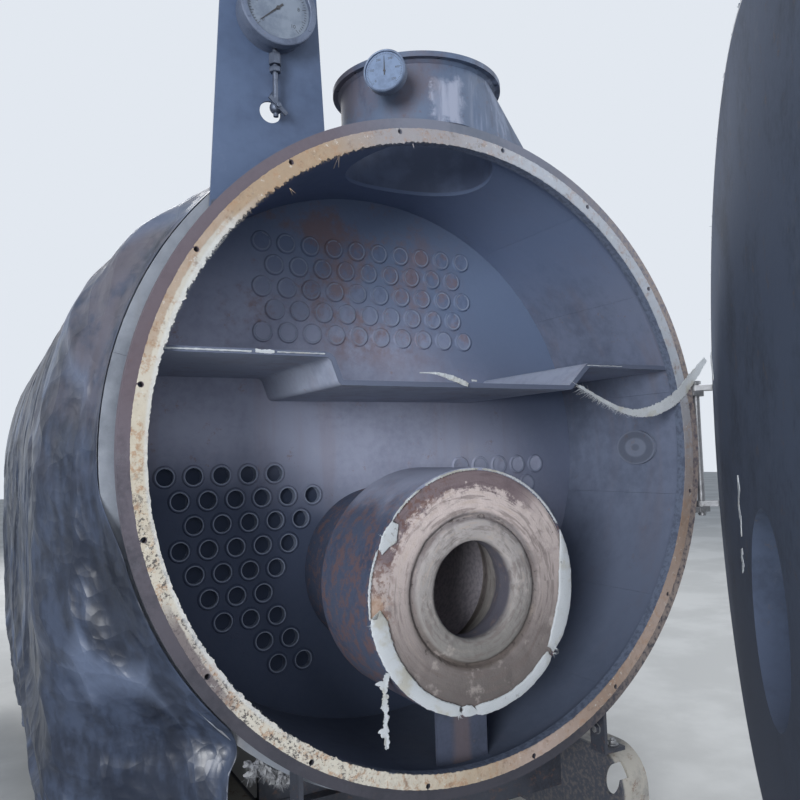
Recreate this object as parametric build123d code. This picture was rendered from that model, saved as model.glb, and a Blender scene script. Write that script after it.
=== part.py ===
from build123d import *
import math
import os

# Three-pass gas-fired fire-tube boiler on skids, front door standing open.
# Millimetres. X to the right, Y into the boiler, Z up. The front faces -Y.
# The origin is the centre of the four anchor holes, at floor level.

# Driving dimensions of the pressure body
AXIS_Z = 1270.0            # height of the shell axis above the floor
SHELL_R = 912.0            # outside of the plate cylinder
SHELL_T = 12.0             # plate of the smokebox and of the rear chamber
PRESSURE_T = 14.0          # plate of the pressure shell
SHEET_T = 18.0             # both tube sheets
SMOKEBOX_DEPTH = 600.0     # ring face to front tube sheet
PRESSURE_LEN = 2250.0      # between the tube sheets
REAR_DEPTH = 380.0         # rear turning chamber
REAR_COVER_T = 70.0
CLEAR = 0.3                # gap between pieces that lie against each other

TOTAL_LEN = SMOKEBOX_DEPTH + PRESSURE_LEN + 2 * SHEET_T + REAR_DEPTH + REAR_COVER_T
FACE_Y = -TOTAL_LEN / 2    # seal face of the front ring
SHEET_Y = FACE_Y + SMOKEBOX_DEPTH
REAR_SHEET_Y = SHEET_Y + SHEET_T + PRESSURE_LEN
REAR_END_Y = REAR_SHEET_Y + SHEET_T + REAR_DEPTH
SHELL_IN_R = SHELL_R - SHELL_T

# Rolled plates of the shells
SEAM = 0.6                 # between neighbouring plates or panels
SMOKEBOX_PLATES = 16
PRESSURE_PLATES = 12

# Front ring and its gasket band
RING_IN_R = SHELL_R - 32.0
RING_OUT_R = SHELL_R + 36.0
RING_T = 30.0
GASKET_OUT_R = SHELL_R + 6.5
GASKET_T = 3.0
RING_BOLT_COUNT = 16
RING_BOLT_PCR = SHELL_R - 3.0
RING_BOLT_R = 6.0
RING_BOLT_PHASE = 12.1     # degrees above +X of the first hole

# Fire tubes, on an equilateral lattice with horizontal rows
TUBE_R = 30.15
TUBE_WALL = 3.6
TUBE_PITCH = 88.0
TUBE_STICK_OUT = 6.0
TUBE_GAP = 0.2
ROW_RISE = TUBE_PITCH * math.sqrt(3) / 2
LEFT_COLUMN_X = 195.4 - SHELL_R       # column 0 of the second pass
LOW_ROW_Z = 239.0 - SHELL_R           # row 0 of the second pass, from the shell axis
# columns of each row, counted in half pitches from the left column, bottom row first
SECOND_PASS = [(8, 10), (7, 9), (4, 6, 8), (3, 5, 7), (2, 4, 6, 8), (1, 3, 5, 7, 9),
               (2, 4, 6, 8, 10), (1, 3, 5, 7, 9, 11), (0, 2, 4, 6, 8)]
THIRD_PASS_LOW_Z = 406.0
THIRD_PASS_ROWS = (10, 9, 10, 9, 10)

# Furnace and burner throat
FURNACE_X = 12.0
FURNACE_Z = -399.0         # from the shell axis
FURNACE_R = 275.0
FURNACE_WALL = 14.0
THROAT_DRUM_R = 343.0
THROAT_DRUM_T = 8.0
THROAT_DRUM_LEN = 290.0
THROAT_BACK_T = 10.0
THROAT_R = 136.0
THROAT_GROOVE_R = 207.0
THROAT_PROUD = 6.0         # throat ring standing proud of the drum rim
THROAT_STRAIGHT = 80.0
THROAT_MOUTH_R = 225.0
GROOVE_DEPTH = 12.0
GROOVE_HALF_W = 9.0
COLLAR_W = 34.0            # proud collar round the throat
ROPE_W = 34.0
ROPE_T = 12.0
ROPE_SLOPE = 4.0           # how far the sides of the rope lean in
SUPPORT_HALF_W = 85.0      # plate under the throat drum
SUPPORT_Y = 95.0
SUPPORT_T = 12.0

# Baffle between the second-pass and third-pass chambers
BAFFLE_SIDE_Z = 249.0      # underside of the shoulders, from the shell axis
BAFFLE_DROP = 74.0
BAFFLE_T = 14.0
BAFFLE_LEFT_STEP = (-405.0, -378.0)   # X of its upper and lower bends
BAFFLE_RIGHT_STEP = (500.0, 422.0)
BAFFLE_FILLET = 20.0
BAFFLE_FRONT = RING_T + 1  # front edge behind the ring face

# Insulated jacket
JACKET_T = 60.0            # insulation and sheet
JACKET_R = SHELL_R + JACKET_T
JACKET_FRONT = 106.0       # front end behind the ring face
BAND_W = 60.0
BAND_T = 2.5
BAND_COUNT = 4
BAND_FIRST = 640.0         # behind the ring face
BAND_LAST_IN = 160.0       # last band ahead of the rear cover
JACKET_PANELS = 12         # sheets round each length of the jacket
JACKET_GAP = 34.0          # round the foot of the flue

# Flue stub
FLUE_X = 10.0
FLUE_Y = 240.0             # behind the ring face
FLUE_NECK_R = 243.0
FLUE_NECK_T = 8.0
FLUE_FLANGE_R = FLUE_NECK_R + 25.0
FLUE_FLANGE_T = 16.0
FLUE_BORE_R = FLUE_NECK_R - 11.0      # hole in the flange
FLUE_TOP_Z = SHELL_R + 233.0
FLUE_FOOT_R = FLUE_NECK_R + 77.0      # flare on the right of the neck
FLUE_FOOT_SHIFT = 103.0    # foot of the flare, offset to +X
FLARE_IN = 6.0             # sides of the flare inside the neck's own wall
FLUE_FOOT_Z = SHELL_R - 12.0          # where the flare ends
FLUE_FOOT_DEEP = 15.0      # reach of the foot below the shell at its right end
FLUE_BOLT_COUNT = 12
FLUE_BOLT_R = 6.0
FLUE_BOLT_IN = 13.0        # from the rim of the flange

# Gauge plate on the left of the flue
PLATE_Y = 86.0
PLATE_T = 8.0
PLATE_TOP_Z = SHELL_R + 418.0
PLATE_LEFT_LOW = (202.0 - SHELL_R, SHELL_R - 352.0)
PLATE_LEFT_TOP_X = -665.0
PLATE_RIGHT_LOW = (-378.0, SHELL_R - 112.0)
PLATE_RIGHT_TOP_X = -401.0
PLATE_HOLE = (-539.0, SHELL_R + 2.0)
PLATE_HOLE_R = 30.0
GAUGE_CENTRE = (-534.0, SHELL_R + 263.0)
GAUGE_R = 105.0
GAUGE_DIAL_R = 88.0
GAUGE_DEPTH = 58.0
GAUGE_CASE_IN = 8.0        # body of the case inside its rim
GAUGE_RIM = (12.0, 14.0)   # rim ahead of and behind the face
COCK_STEM_R = 7.0
COCK_BODY_R = 17.0
COCK_NUT_DOWN = 46.0       # from the gauge
COCK_LINK_UP = (34.0, 46.0)
COCK_LEVER = (62.0, 6.0, 11.0)
COCK_LEVER_TURN = 42.0

# Thermometer on the flue neck
DIAL_R = 59.0
DIAL_DEPTH = 26.0
DIAL_Z = FLUE_TOP_Z - 99.0
DIAL_TURN = 44.5           # degrees from -Y towards -X
DIAL_REACH = 92.0          # neck wall to the back of the dial
DIAL_STEM_R = 6.0
DIAL_NUT_R = 14.0
DIAL_NUT_OUT = 24.0        # nut from the neck wall

# Skids
SKID_ROOM = 53.0           # top of the skids below the shell
SKID_TOP = AXIS_Z - SHELL_R - SKID_ROOM
SKID_X = 528.0             # inner face of the web
SKID_W = 112.0
SKID_T = 10.0
SKID_NOSE_R = 115.0
SKID_FRONT = 4.0           # nose behind the ring face
SKID_BACK = 60.0           # tail short of the rear end
SKID_GAP = 20.0            # top flange of a cross beam below the skid's top
TOW_HOLE_W = 60.0
TOW_HOLE_L = 104.0
TOW_HOLE_TILT = 23.0
TOW_HOLE_IN = 42.0
TOW_HOLE_DOWN = 80.0
ANCHOR_X = SKID_X + 62.0
ANCHOR_Y = 1400.0
ANCHOR_R = 11.0
SADDLE_T = 20.0
SADDLE_HALF_X = SKID_X - 8.0
SADDLE_HIGH_Z = 212.0 - SHELL_R       # top corners of the saddles, from the shell axis
SADDLE_PLACES = (330.0, 2560.0)   # behind the ring face
SADDLE_ROOM = 1.0          # slot in the jacket round a saddle
GUSSET_X = (-380.0, -130.0, 130.0, 380.0)
GUSSET_LEN = 70.0
GUSSET_T = 12.0
BEAM_W = 100.0
BEAM_H = 160.0
BEAM_T = 10.0
BEAM_AHEAD = 40.0          # front of a beam ahead of its saddle

# Brackets between the front of the shell and the skids
BRACKET_X = SKID_X - 28.0             # inner side of the upright
BRACKET_T = 12.0
BRACKET_Y = 40.0           # behind the ring face
BRACKET_LEN = 64.0
BRACKET_FOOT = 84.0
BRACKET_BOLT_UP = 73.0     # above the top of the skid
BRACKET_BOLT_R = 9.0

# Door and its hinge
DOOR_R = RING_OUT_R + 12.0
DOOR_GAP = 20.0            # closed seal face in front of the ring face
DOOR_DEPTH = 100.0
DOOR_PLATE_T = 10.0
DOOR_WALL_T = 6.0
DOOR_HOLE_R = 240.0
DOOR_OPEN = 44.5           # degrees open as it stands
HINGE_X = RING_OUT_R + 40.0
HINGE_BACK = 32.0          # hinge axis behind the ring face
HINGE_PIN_R = 12.0
HINGE_FIT = 0.05
HINGE_LUG_R = 27.0
HINGE_LUG_T = 18.0
HINGE_LUG_ROOT = 80.0      # root of a lug's web inside the ring's bore
HINGE_HIGH_Z = 178.0       # top face of the upper fixed lug, from the shell axis
HINGE_LOW_Z = -222.0       # top face of the lower fixed lug
HINGE_WASHER = 1.0
STRAP_END_X = DOOR_R - 440.0          # inner end of a hinge arm on the outer face of the door
STRAP_HIGH = 58.0          # of the arm off that face, at the rim
STRAP_LOW = 16.0           # and at its inner end
GRIP_R = 11.0              # half width of the pull handle's bar
GRIP_IN = 130.0            # from the rim of the door
GRIP_HALF_LEN = 140.0
GRIP_OUT = 70.0

# Burner flange on the door
BURNER_FLANGE_R = 320.0
BURNER_FLANGE_T = 20.0
BURNER_BOLT_PCR = 285.0
BURNER_BOLT_COUNT = 8
BURNER_BOLT_R = 9.0

# Hand hole at the right wall of the smokebox
HAND_Y = 226.0             # behind the ring face
HAND_Z = -12.0
HAND_W = 160.0
HAND_H = 100.0
HAND_LAP = 11.0
HAND_PLATE_T = 10.0
HAND_SEAT = 6.0            # plate inside the wall by the gasket's thickness
HAND_STUD_R = 10.0
HAND_STUD_OUT = 70.0
YOKE_T = 20.0
YOKE_HALF_W = 16.0
YOKE_OUT = 34.0            # outer face from the shell
YOKE_LAP = 22.0            # beyond the hole, above and below
YOKE_FOOT = 18.0
NUT_H = 16.0
HAND_BOX = (110.0, 88.0)   # half sizes of the gap in the jacket

# Rear cover and its port
REAR_PLATE_T = 14.0
REAR_STEP = 60.0
REAR_BOLT_PCR = RING_OUT_R - 30.0
REAR_PORT_R = 190.0
REAR_PORT_Z = FURNACE_Z
REAR_PORT_LAP = 40.0
REAR_PORT_T = 14.0
REAR_PLUG_LEN = 50.0
SIGHT_R = 44.0
SIGHT_BORE_R = 30.0
SIGHT_OUT = 50.0

# Flanged steam and safety-valve nozzles: place behind the ring face, pipe radius, height over the jacket
TOP_NOZZLES = [(1150.0, 57.0, 150.0), (2120.0, 84.0, 170.0), (2560.0, 57.0, 150.0)]
NOZZLE_WALL = 7.0
NOZZLE_LAP = 48.0
NOZZLE_FLANGE_T = 22.0
NOZZLE_BOLT_COUNT = 4
NOZZLE_BOLT_R = 9.0
NOZZLE_BOLT_IN = 20.0
NOZZLE_ROOM = 4.0          # round a pipe in the jacket

# Cover sheet over the left flank, as the space that its folds fill: turns from +X, and reach beyond the jacket
SHEET_FRONT = 118.0        # behind the ring face
SHEET_BACK = 2980.0
SHEET_INNER = [(125.0, 4.5), (135.0, 18.0), (154.7, 12.0), (176.5, 9.8), (191.5, 28.2), (203.6, 76.0),
               (216.7, 200.0), (231.1, 468.0)]
SHEET_OUTER = [(229.7, 510.0), (214.7, 257.0), (201.8, 159.0), (185.3, 117.6), (167.0, 141.4), (157.1, 157.2),
               (145.4, 121.0), (125.5, 60.3)]

# Torn pieces of rope gasket: one lies from the ring to the baffle, one hangs from the throat
ROPE_R = 5.0
TORN_ROUTE = [(1000, -7, 286), (968, -8.6, 259), (932, -8.6, 226), (895, -8.4, 190), (852, -7.6, 155),
              (798, -2, 124), (738, 8, 103), (676, 16, 99), (616, 21, 112), (560, 22, 133), (504, 22, 160),
              (446, 22, 186)]
STRIP_R = 4.0
STRIP_ROUTE = [(-279, -7.5, -581), (-288, -7.5, -612), (-291, -7, -650), (-286, -6.5, -692), (-290, -6, -735),
               (-285, -6, -772)]


def at(x, y, z):
    """Point from the shell axis and the ring face to the frame of the part."""
    return (x, FACE_Y + y, AXIS_Z + z)


def along_y(radius, y0, y1, x=0.0, z=0.0):
    """Solid cylinder along Y, y counted behind the ring face."""
    return Pos(*at(x, (y0 + y1) / 2, z)) * Rot(90, 0, 0) * Cylinder(radius, y1 - y0)


def pipe_y(outer, inner, y0, y1, x=0.0, z=0.0):
    """Hollow cylinder along Y."""
    return along_y(outer, y0, y1, x, z) - along_y(inner, y0 - 1, y1 + 1, x, z)


def block(x0, x1, y0, y1, z0, z1):
    """Box between two corners given from the shell axis and the ring face."""
    return Pos(*at((x0 + x1) / 2, (y0 + y1) / 2, (z0 + z1) / 2)) * Box(x1 - x0, y1 - y0, z1 - z0)


def plate_xz(sketch, y0, y1):
    """Plate cut from an outline drawn in X and Z, standing across the boiler."""
    solid = extrude(sketch, amount=y1 - y0)
    return Pos(*at(0, y1, 0)) * Rot(90, 0, 0) * solid


def seamed(section, count):
    """Round section parted by narrow seams into like pieces, with a whole one at +X."""
    far = 2 * JACKET_R
    slit = make_face(Polyline((0, -SEAM / 2), (far, -SEAM / 2), (far, SEAM / 2), (0, SEAM / 2), close=True))
    for i in range(count):
        section -= Rot(0, 0, (i + 0.5) * 360.0 / count) * slit
    return section


def ring_places(count, radius, phase):
    """Points of a bolt circle in X and Z."""
    turns = [math.radians(phase + 360.0 * i / count) for i in range(count)]
    return [(radius * math.cos(t), radius * math.sin(t)) for t in turns]


# Front ring: rolled flat bar welded to the smokebox, drilled for the door bolts
def front_ring():
    ring = pipe_y(RING_OUT_R, RING_IN_R, 0, RING_T)
    for x, z in ring_places(RING_BOLT_COUNT, RING_BOLT_PCR, RING_BOLT_PHASE):
        ring -= along_y(RING_BOLT_R, -1, RING_T + 1, x, z)
    return ring


def ring_gasket():
    band = pipe_y(GASKET_OUT_R, RING_IN_R + 2, -GASKET_T, 0)
    for x, z in ring_places(RING_BOLT_COUNT, RING_BOLT_PCR, RING_BOLT_PHASE):
        band -= along_y(RING_BOLT_R + 1, -GASKET_T - 1, 1, x, z)
    return band


# Smokebox: cylinder of rolled plates with the flue opening above and a hand hole at the right
def oval_x(width, height, x0, x1):
    """Oval bar along X through the hand hole."""
    return Pos(*at(x0, HAND_Y, HAND_Z)) * extrude(Plane.YZ * Ellipse(width / 2, height / 2), amount=x1 - x0)


def flue_cut():
    top = FLUE_TOP_Z
    return Pos(*at(FLUE_X, FLUE_Y, top / 2)) * Cylinder(FLUE_NECK_R - FLUE_NECK_T, top)


def smokebox_shell():
    shell = plate_xz(seamed(Circle(SHELL_R) - Circle(SHELL_IN_R), SMOKEBOX_PLATES), RING_T, SMOKEBOX_DEPTH)
    shell -= flue_cut()
    shell -= oval_x(HAND_W, HAND_H, SHELL_IN_R - HAND_STUD_OUT, SHELL_R + HAND_STUD_OUT)
    return shell.solids()


def handhole():
    inside = SHELL_IN_R - HAND_SEAT
    plate = oval_x(HAND_W + 2 * HAND_LAP, HAND_H + 2 * HAND_LAP, inside - HAND_PLATE_T, inside)
    seat = oval_x(HAND_W - 2, HAND_H - 2, inside, SHELL_R + 4)
    stud_len = SHELL_R + HAND_STUD_OUT - inside
    stud = Pos(*at(inside + stud_len / 2, HAND_Y, HAND_Z)) * Rot(0, 90, 0) * Cylinder(HAND_STUD_R, stud_len)
    return plate + seat + stud


def handhole_yoke():
    low = SHELL_R + CLEAR
    out = SHELL_R + YOKE_OUT
    half = HAND_H / 2 + YOKE_LAP
    y0, y1 = HAND_Y - YOKE_HALF_W, HAND_Y + YOKE_HALF_W
    bar = block(out - YOKE_T, out, y0, y1, HAND_Z - half, HAND_Z + half)
    for z in (HAND_Z - half, HAND_Z + half - YOKE_FOOT):
        bar += block(low, out - YOKE_T + 1, y0, y1, z, z + YOKE_FOOT)
    centre = Pos(*at(out, HAND_Y, HAND_Z)) * Rot(0, 90, 0)
    bar += centre * extrude(RegularPolygon(HAND_STUD_R * 1.6, 6), amount=NUT_H)
    return bar - centre * Cylinder(HAND_STUD_R + CLEAR, 2 * (YOKE_T + NUT_H))


# Baffle: bent plate across the smokebox, lower in the middle
def baffle():
    reach = math.sqrt(SHELL_IN_R ** 2 - (BAFFLE_SIDE_Z + BAFFLE_T) ** 2) - CLEAR
    low = BAFFLE_SIDE_Z - BAFFLE_DROP
    points = [(-reach, BAFFLE_SIDE_Z), (BAFFLE_LEFT_STEP[0], BAFFLE_SIDE_Z), (BAFFLE_LEFT_STEP[1], low),
              (BAFFLE_RIGHT_STEP[1], low), (BAFFLE_RIGHT_STEP[0], BAFFLE_SIDE_Z), (reach, BAFFLE_SIDE_Z)]
    under = FilletPolyline(*points, radius=BAFFLE_FILLET)
    face = make_face(offset(under, amount=BAFFLE_T, side=Side.LEFT, closed=True))
    return plate_xz(face, BAFFLE_FRONT, SMOKEBOX_DEPTH - CLEAR)


# Tube sheets and tubes
def second_pass(side):
    places = []
    for row, columns in enumerate(SECOND_PASS):
        for column in columns:
            x = LEFT_COLUMN_X + column * TUBE_PITCH / 2
            places.append((-side * x, LOW_ROW_Z + row * ROW_RISE))
    return places


def third_pass():
    places = []
    for row, count in enumerate(THIRD_PASS_ROWS):
        for i in range(count):
            places.append(((i - (count - 1) / 2) * TUBE_PITCH, THIRD_PASS_LOW_Z + row * ROW_RISE))
    return places


def tube_sheet(y0, inner_r):
    sheet = along_y(inner_r, y0, y0 + SHEET_T)
    places = second_pass(-1) + second_pass(1) + third_pass()
    holes = Sketch() + [Pos(x, z) * Circle(TUBE_R + TUBE_GAP) for x, z in places]
    holes += Pos(FURNACE_X, FURNACE_Z) * Circle(FURNACE_R + TUBE_GAP)
    return sheet - plate_xz(holes, y0 - 1, y0 + SHEET_T + 1)


def tubes(places):
    front = SMOKEBOX_DEPTH - TUBE_STICK_OUT
    back = SMOKEBOX_DEPTH + PRESSURE_LEN + 2 * SHEET_T + TUBE_STICK_OUT
    section = Sketch() + [Pos(x, z) * (Circle(TUBE_R) - Circle(TUBE_R - TUBE_WALL)) for x, z in places]
    return plate_xz(section, front, back)


# Furnace: one long tube through both sheets, standing out in front to carry the throat
def furnace_tube():
    return pipe_y(FURNACE_R, FURNACE_R - FURNACE_WALL, THROAT_DRUM_LEN + THROAT_BACK_T,
                  SMOKEBOX_DEPTH + PRESSURE_LEN + 2 * SHEET_T + 20, FURNACE_X, FURNACE_Z)


def throat_drum():
    inner = THROAT_DRUM_R - THROAT_DRUM_T
    end = THROAT_DRUM_LEN + THROAT_BACK_T
    wall = pipe_y(THROAT_DRUM_R, inner, 0, end, FURNACE_X, FURNACE_Z)
    return wall + pipe_y(inner + 1, FURNACE_R - FURNACE_WALL, THROAT_DRUM_LEN, end, FURNACE_X, FURNACE_Z)


def turned_y(points, x=FURNACE_X, z=FURNACE_Z, sweep=360.0, start=0.0):
    """Body turned about an axis along Y from (radius, y) corners."""
    face = make_face(Polyline(*[(r, y, 0) for r, y in points], close=True))
    body = revolve(face, Axis.Y, revolution_arc=sweep)
    return Pos(*at(x, 0, z)) * Rot(0, start, 0) * body


def throat_refractory():
    outer = THROAT_DRUM_R - THROAT_DRUM_T - CLEAR
    back = THROAT_DRUM_LEN - CLEAR
    groove_out, groove_in = THROAT_GROOVE_R + GROOVE_HALF_W, THROAT_GROOVE_R - GROOVE_HALF_W
    floor_half = GROOVE_HALF_W / 2
    corners = [(outer, 0), (groove_out, 0), (THROAT_GROOVE_R + floor_half, GROOVE_DEPTH),
               (THROAT_GROOVE_R - floor_half, GROOVE_DEPTH), (groove_in, -THROAT_PROUD / 2),
               (THROAT_R + COLLAR_W, -THROAT_PROUD), (THROAT_R, 0),
               (THROAT_R, THROAT_STRAIGHT), (THROAT_MOUTH_R, back), (outer, back)]
    return turned_y(corners)


def throat_rope():
    outer = THROAT_DRUM_R - 1
    inner = outer - ROPE_W
    corners = [(outer, -CLEAR), (inner, -CLEAR), (inner + ROPE_SLOPE, -ROPE_T), (outer - ROPE_SLOPE, -ROPE_T)]
    long_piece = turned_y(corners, sweep=196.0, start=-14.0)
    short_piece = turned_y(corners, sweep=24.0, start=-150.0)
    return [long_piece, short_piece]


def throat_support():
    top = FURNACE_Z - math.sqrt(THROAT_DRUM_R ** 2 - SUPPORT_HALF_W ** 2)
    y0, y1 = SUPPORT_Y, SUPPORT_Y + SUPPORT_T
    plate = block(FURNACE_X - SUPPORT_HALF_W, FURNACE_X + SUPPORT_HALF_W, y0, y1, -SHELL_R, top)
    plate -= along_y(THROAT_DRUM_R + CLEAR, y0 - 1, y1 + 1, FURNACE_X, FURNACE_Z)
    return plate & along_y(SHELL_IN_R - CLEAR, y0 - 1, y1 + 1)


# Pressure shell, rear chamber and covers
def upright(x, y, radius, z0, z1):
    """Solid cylinder along Z between two heights from the shell axis."""
    return Pos(*at(x, y, (z0 + z1) / 2)) * Cylinder(radius, z1 - z0)


def boiler_shell():
    section = seamed(Circle(SHELL_R) - Circle(SHELL_R - PRESSURE_T), PRESSURE_PLATES)
    shell = plate_xz(section, SMOKEBOX_DEPTH + CLEAR, SMOKEBOX_DEPTH + PRESSURE_LEN + 2 * SHEET_T)
    for y, r, height in TOP_NOZZLES:
        shell -= upright(0, y, r - NOZZLE_WALL + 1, 0, SHELL_R + 1)
    return shell.solids()


def rear_chamber():
    start = SMOKEBOX_DEPTH + PRESSURE_LEN + 2 * SHEET_T
    shell = pipe_y(SHELL_R, SHELL_IN_R, start + CLEAR, start + REAR_DEPTH)
    return shell + pipe_y(RING_OUT_R, SHELL_R - 1, start + REAR_DEPTH - RING_T, start + REAR_DEPTH)


def rear_cover():
    start = TOTAL_LEN - REAR_COVER_T + CLEAR
    cover = along_y(RING_OUT_R, start, start + REAR_PLATE_T)
    cover += along_y(RING_OUT_R - REAR_STEP, start + REAR_PLATE_T - 1, TOTAL_LEN)
    cover -= along_y(REAR_PORT_R, start - 1, TOTAL_LEN + 1, 0, REAR_PORT_Z)
    for x, z in ring_places(RING_BOLT_COUNT, REAR_BOLT_PCR, RING_BOLT_PHASE):
        cover -= along_y(RING_BOLT_R, start - 1, start + REAR_PLATE_T + 1, x, z)
    return cover


def rear_port_cover():
    outer = TOTAL_LEN + REAR_PORT_T
    lid = along_y(REAR_PORT_R + REAR_PORT_LAP, TOTAL_LEN + CLEAR, outer, 0, REAR_PORT_Z)
    lid += along_y(REAR_PORT_R - 4, TOTAL_LEN - REAR_PLUG_LEN, TOTAL_LEN + 1, 0, REAR_PORT_Z)
    return lid + pipe_y(SIGHT_R, SIGHT_BORE_R, outer - 1, TOTAL_LEN + SIGHT_OUT, 0, REAR_PORT_Z)


def band_places():
    last = TOTAL_LEN - REAR_COVER_T - BAND_LAST_IN
    return [BAND_FIRST + (last - BAND_FIRST) * i / (BAND_COUNT - 1) for i in range(BAND_COUNT)]


def jacket_cuts():
    """What passes through the jacket: flue, hand hole, saddles and nozzles."""
    foot_x = FLUE_X + FLUE_FOOT_SHIFT
    cuts = [upright(foot_x, FLUE_Y, FLUE_FOOT_R + JACKET_GAP, SHELL_IN_R / 2, JACKET_R + JACKET_GAP)]
    half_y, half_z = HAND_BOX
    cuts.append(block(SHELL_IN_R, JACKET_R + 1, HAND_Y - half_y, HAND_Y + half_y,
                      HAND_Z - half_z, HAND_Z + half_z))
    half_x = SADDLE_HALF_X + SADDLE_ROOM
    for y in SADDLE_PLACES:
        y0, y1 = y - SADDLE_ROOM, y + SADDLE_T + GUSSET_LEN + SADDLE_ROOM
        cuts.append(block(-half_x, half_x, y0, y1, -JACKET_R - 1, -SHELL_R / 2))
    for y, r, height in TOP_NOZZLES:
        cuts.append(upright(0, y, r + NOZZLE_ROOM, SHELL_IN_R, JACKET_R + 1))
    return cuts


def jacket():
    """Insulation and sheet in lengths that end under the bands, each of several panels round the shell."""
    end = TOTAL_LEN - REAR_COVER_T - RING_T - CLEAR
    seams = [JACKET_FRONT] + [y + BAND_W / 2 for y in band_places()[:-1]] + [end]
    section = seamed(Circle(JACKET_R) - Circle(SHELL_R + CLEAR), JACKET_PANELS)
    cuts = jacket_cuts()
    panels = []
    for y0, y1 in zip(seams, seams[1:]):
        length = plate_xz(section, y0, y1 - SEAM)
        for cut in cuts:
            length -= cut
        panels += length.solids()
    return panels


def jacket_bands():
    return [pipe_y(JACKET_R + BAND_T, JACKET_R + 0.1, y, y + BAND_W) for y in band_places()]


# Top of the shell: flanged steam and safety-valve nozzles
def top_nozzles():
    solids = []
    for y, r, height in TOP_NOZZLES:
        top = JACKET_R + height
        neck = upright(0, y, r, SHELL_R - r / 2, top)
        neck += upright(0, y, r + NOZZLE_LAP, top - NOZZLE_FLANGE_T, top)
        neck -= upright(0, y, r - NOZZLE_WALL, SHELL_IN_R - r, top + 1)
        for dx, dy in ring_places(NOZZLE_BOLT_COUNT, r + NOZZLE_LAP - NOZZLE_BOLT_IN, 45):
            neck -= upright(dx, y + dy, NOZZLE_BOLT_R, top - NOZZLE_FLANGE_T - 1, top + 1)
        neck -= along_y(SHELL_R + CLEAR, y - 2 * r, y + 2 * r)
        solids.append(neck)
    return solids


# Flue stub with its flange and thermometer
def flue_body():
    height = FLUE_TOP_Z - FLUE_FLANGE_T
    right = FLUE_X + FLUE_FOOT_SHIFT + FLUE_FOOT_R
    low = math.sqrt(SHELL_R ** 2 - right ** 2) - FLUE_FOOT_DEEP
    half_deep = FLUE_NECK_R - FLARE_IN
    foot = Pos(*at(FLUE_X + FLUE_FOOT_SHIFT, FLUE_Y, FLUE_FOOT_Z)) * Ellipse(FLUE_FOOT_R, half_deep)
    mouth = Pos(*at(FLUE_X, FLUE_Y, height)) * Ellipse(FLUE_NECK_R - FLARE_IN / 2, half_deep)
    outer = loft([foot, mouth]) + upright(FLUE_X, FLUE_Y, FLUE_NECK_R, low, height)
    outer += Pos(0, 0, low - FLUE_FOOT_Z) * extrude(foot, amount=FLUE_FOOT_Z - low)
    outer -= along_y(SHELL_R + CLEAR, -2 * FLUE_NECK_R, FLUE_Y + 2 * FLUE_NECK_R)
    return outer - along_y(RING_OUT_R + CLEAR, -2 * FLUE_NECK_R, RING_T + CLEAR)


def flue_neck():
    return flue_body() - flue_cut()


def flue_flange():
    z0 = FLUE_TOP_Z - FLUE_FLANGE_T
    flange = upright(FLUE_X, FLUE_Y, FLUE_FLANGE_R, z0, FLUE_TOP_Z)
    flange -= upright(FLUE_X, FLUE_Y, FLUE_BORE_R, z0 - 1, FLUE_TOP_Z + 1)
    for x, y in ring_places(FLUE_BOLT_COUNT, FLUE_FLANGE_R - FLUE_BOLT_IN, 15):
        flange -= upright(FLUE_X + x, FLUE_Y + y, FLUE_BOLT_R, z0 - 1, FLUE_TOP_Z + 1)
    return flange


def dial_spot(distance):
    """Place on the dial's axis, that far out from the neck, facing outwards."""
    turn = math.radians(DIAL_TURN)
    reach = FLUE_NECK_R + distance
    x, y = FLUE_X - math.sin(turn) * reach, FLUE_Y - math.cos(turn) * reach
    return Pos(*at(x, y, DIAL_Z)) * Rot(0, 0, -DIAL_TURN) * Rot(90, 0, 0)


def flue_thermometer():
    inside = 2 * FLUE_NECK_T
    stem = dial_spot((DIAL_REACH - inside) / 2) * Cylinder(DIAL_STEM_R, DIAL_REACH + inside + 2) - flue_body()
    stem += dial_spot(DIAL_NUT_OUT) * extrude(RegularPolygon(DIAL_NUT_R, 6), amount=2 * DIAL_NUT_R)
    head = dial_spot(DIAL_REACH + DIAL_DEPTH / 2) * Cylinder(DIAL_R, DIAL_DEPTH)
    return stem + head


# Gauge plate, pressure gauge, and the cock under it
def gauge_plate():
    outline = Polyline(PLATE_LEFT_LOW, (PLATE_LEFT_TOP_X, PLATE_TOP_Z), (PLATE_RIGHT_TOP_X, PLATE_TOP_Z),
                       PLATE_RIGHT_LOW, close=True)
    face = make_face(outline) - Pos(*PLATE_HOLE) * Circle(PLATE_HOLE_R) - Circle(SHELL_R + CLEAR)
    return plate_xz(face, PLATE_Y, PLATE_Y + PLATE_T)


def pressure_gauge():
    x, z = GAUGE_CENTRE
    back = PLATE_Y - CLEAR
    face = back - GAUGE_DEPTH
    case = along_y(GAUGE_R - GAUGE_CASE_IN, face, back, x, z)
    return case + pipe_y(GAUGE_R, GAUGE_DIAL_R, face - GAUGE_RIM[0], face + GAUGE_RIM[1], x, z)


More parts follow.
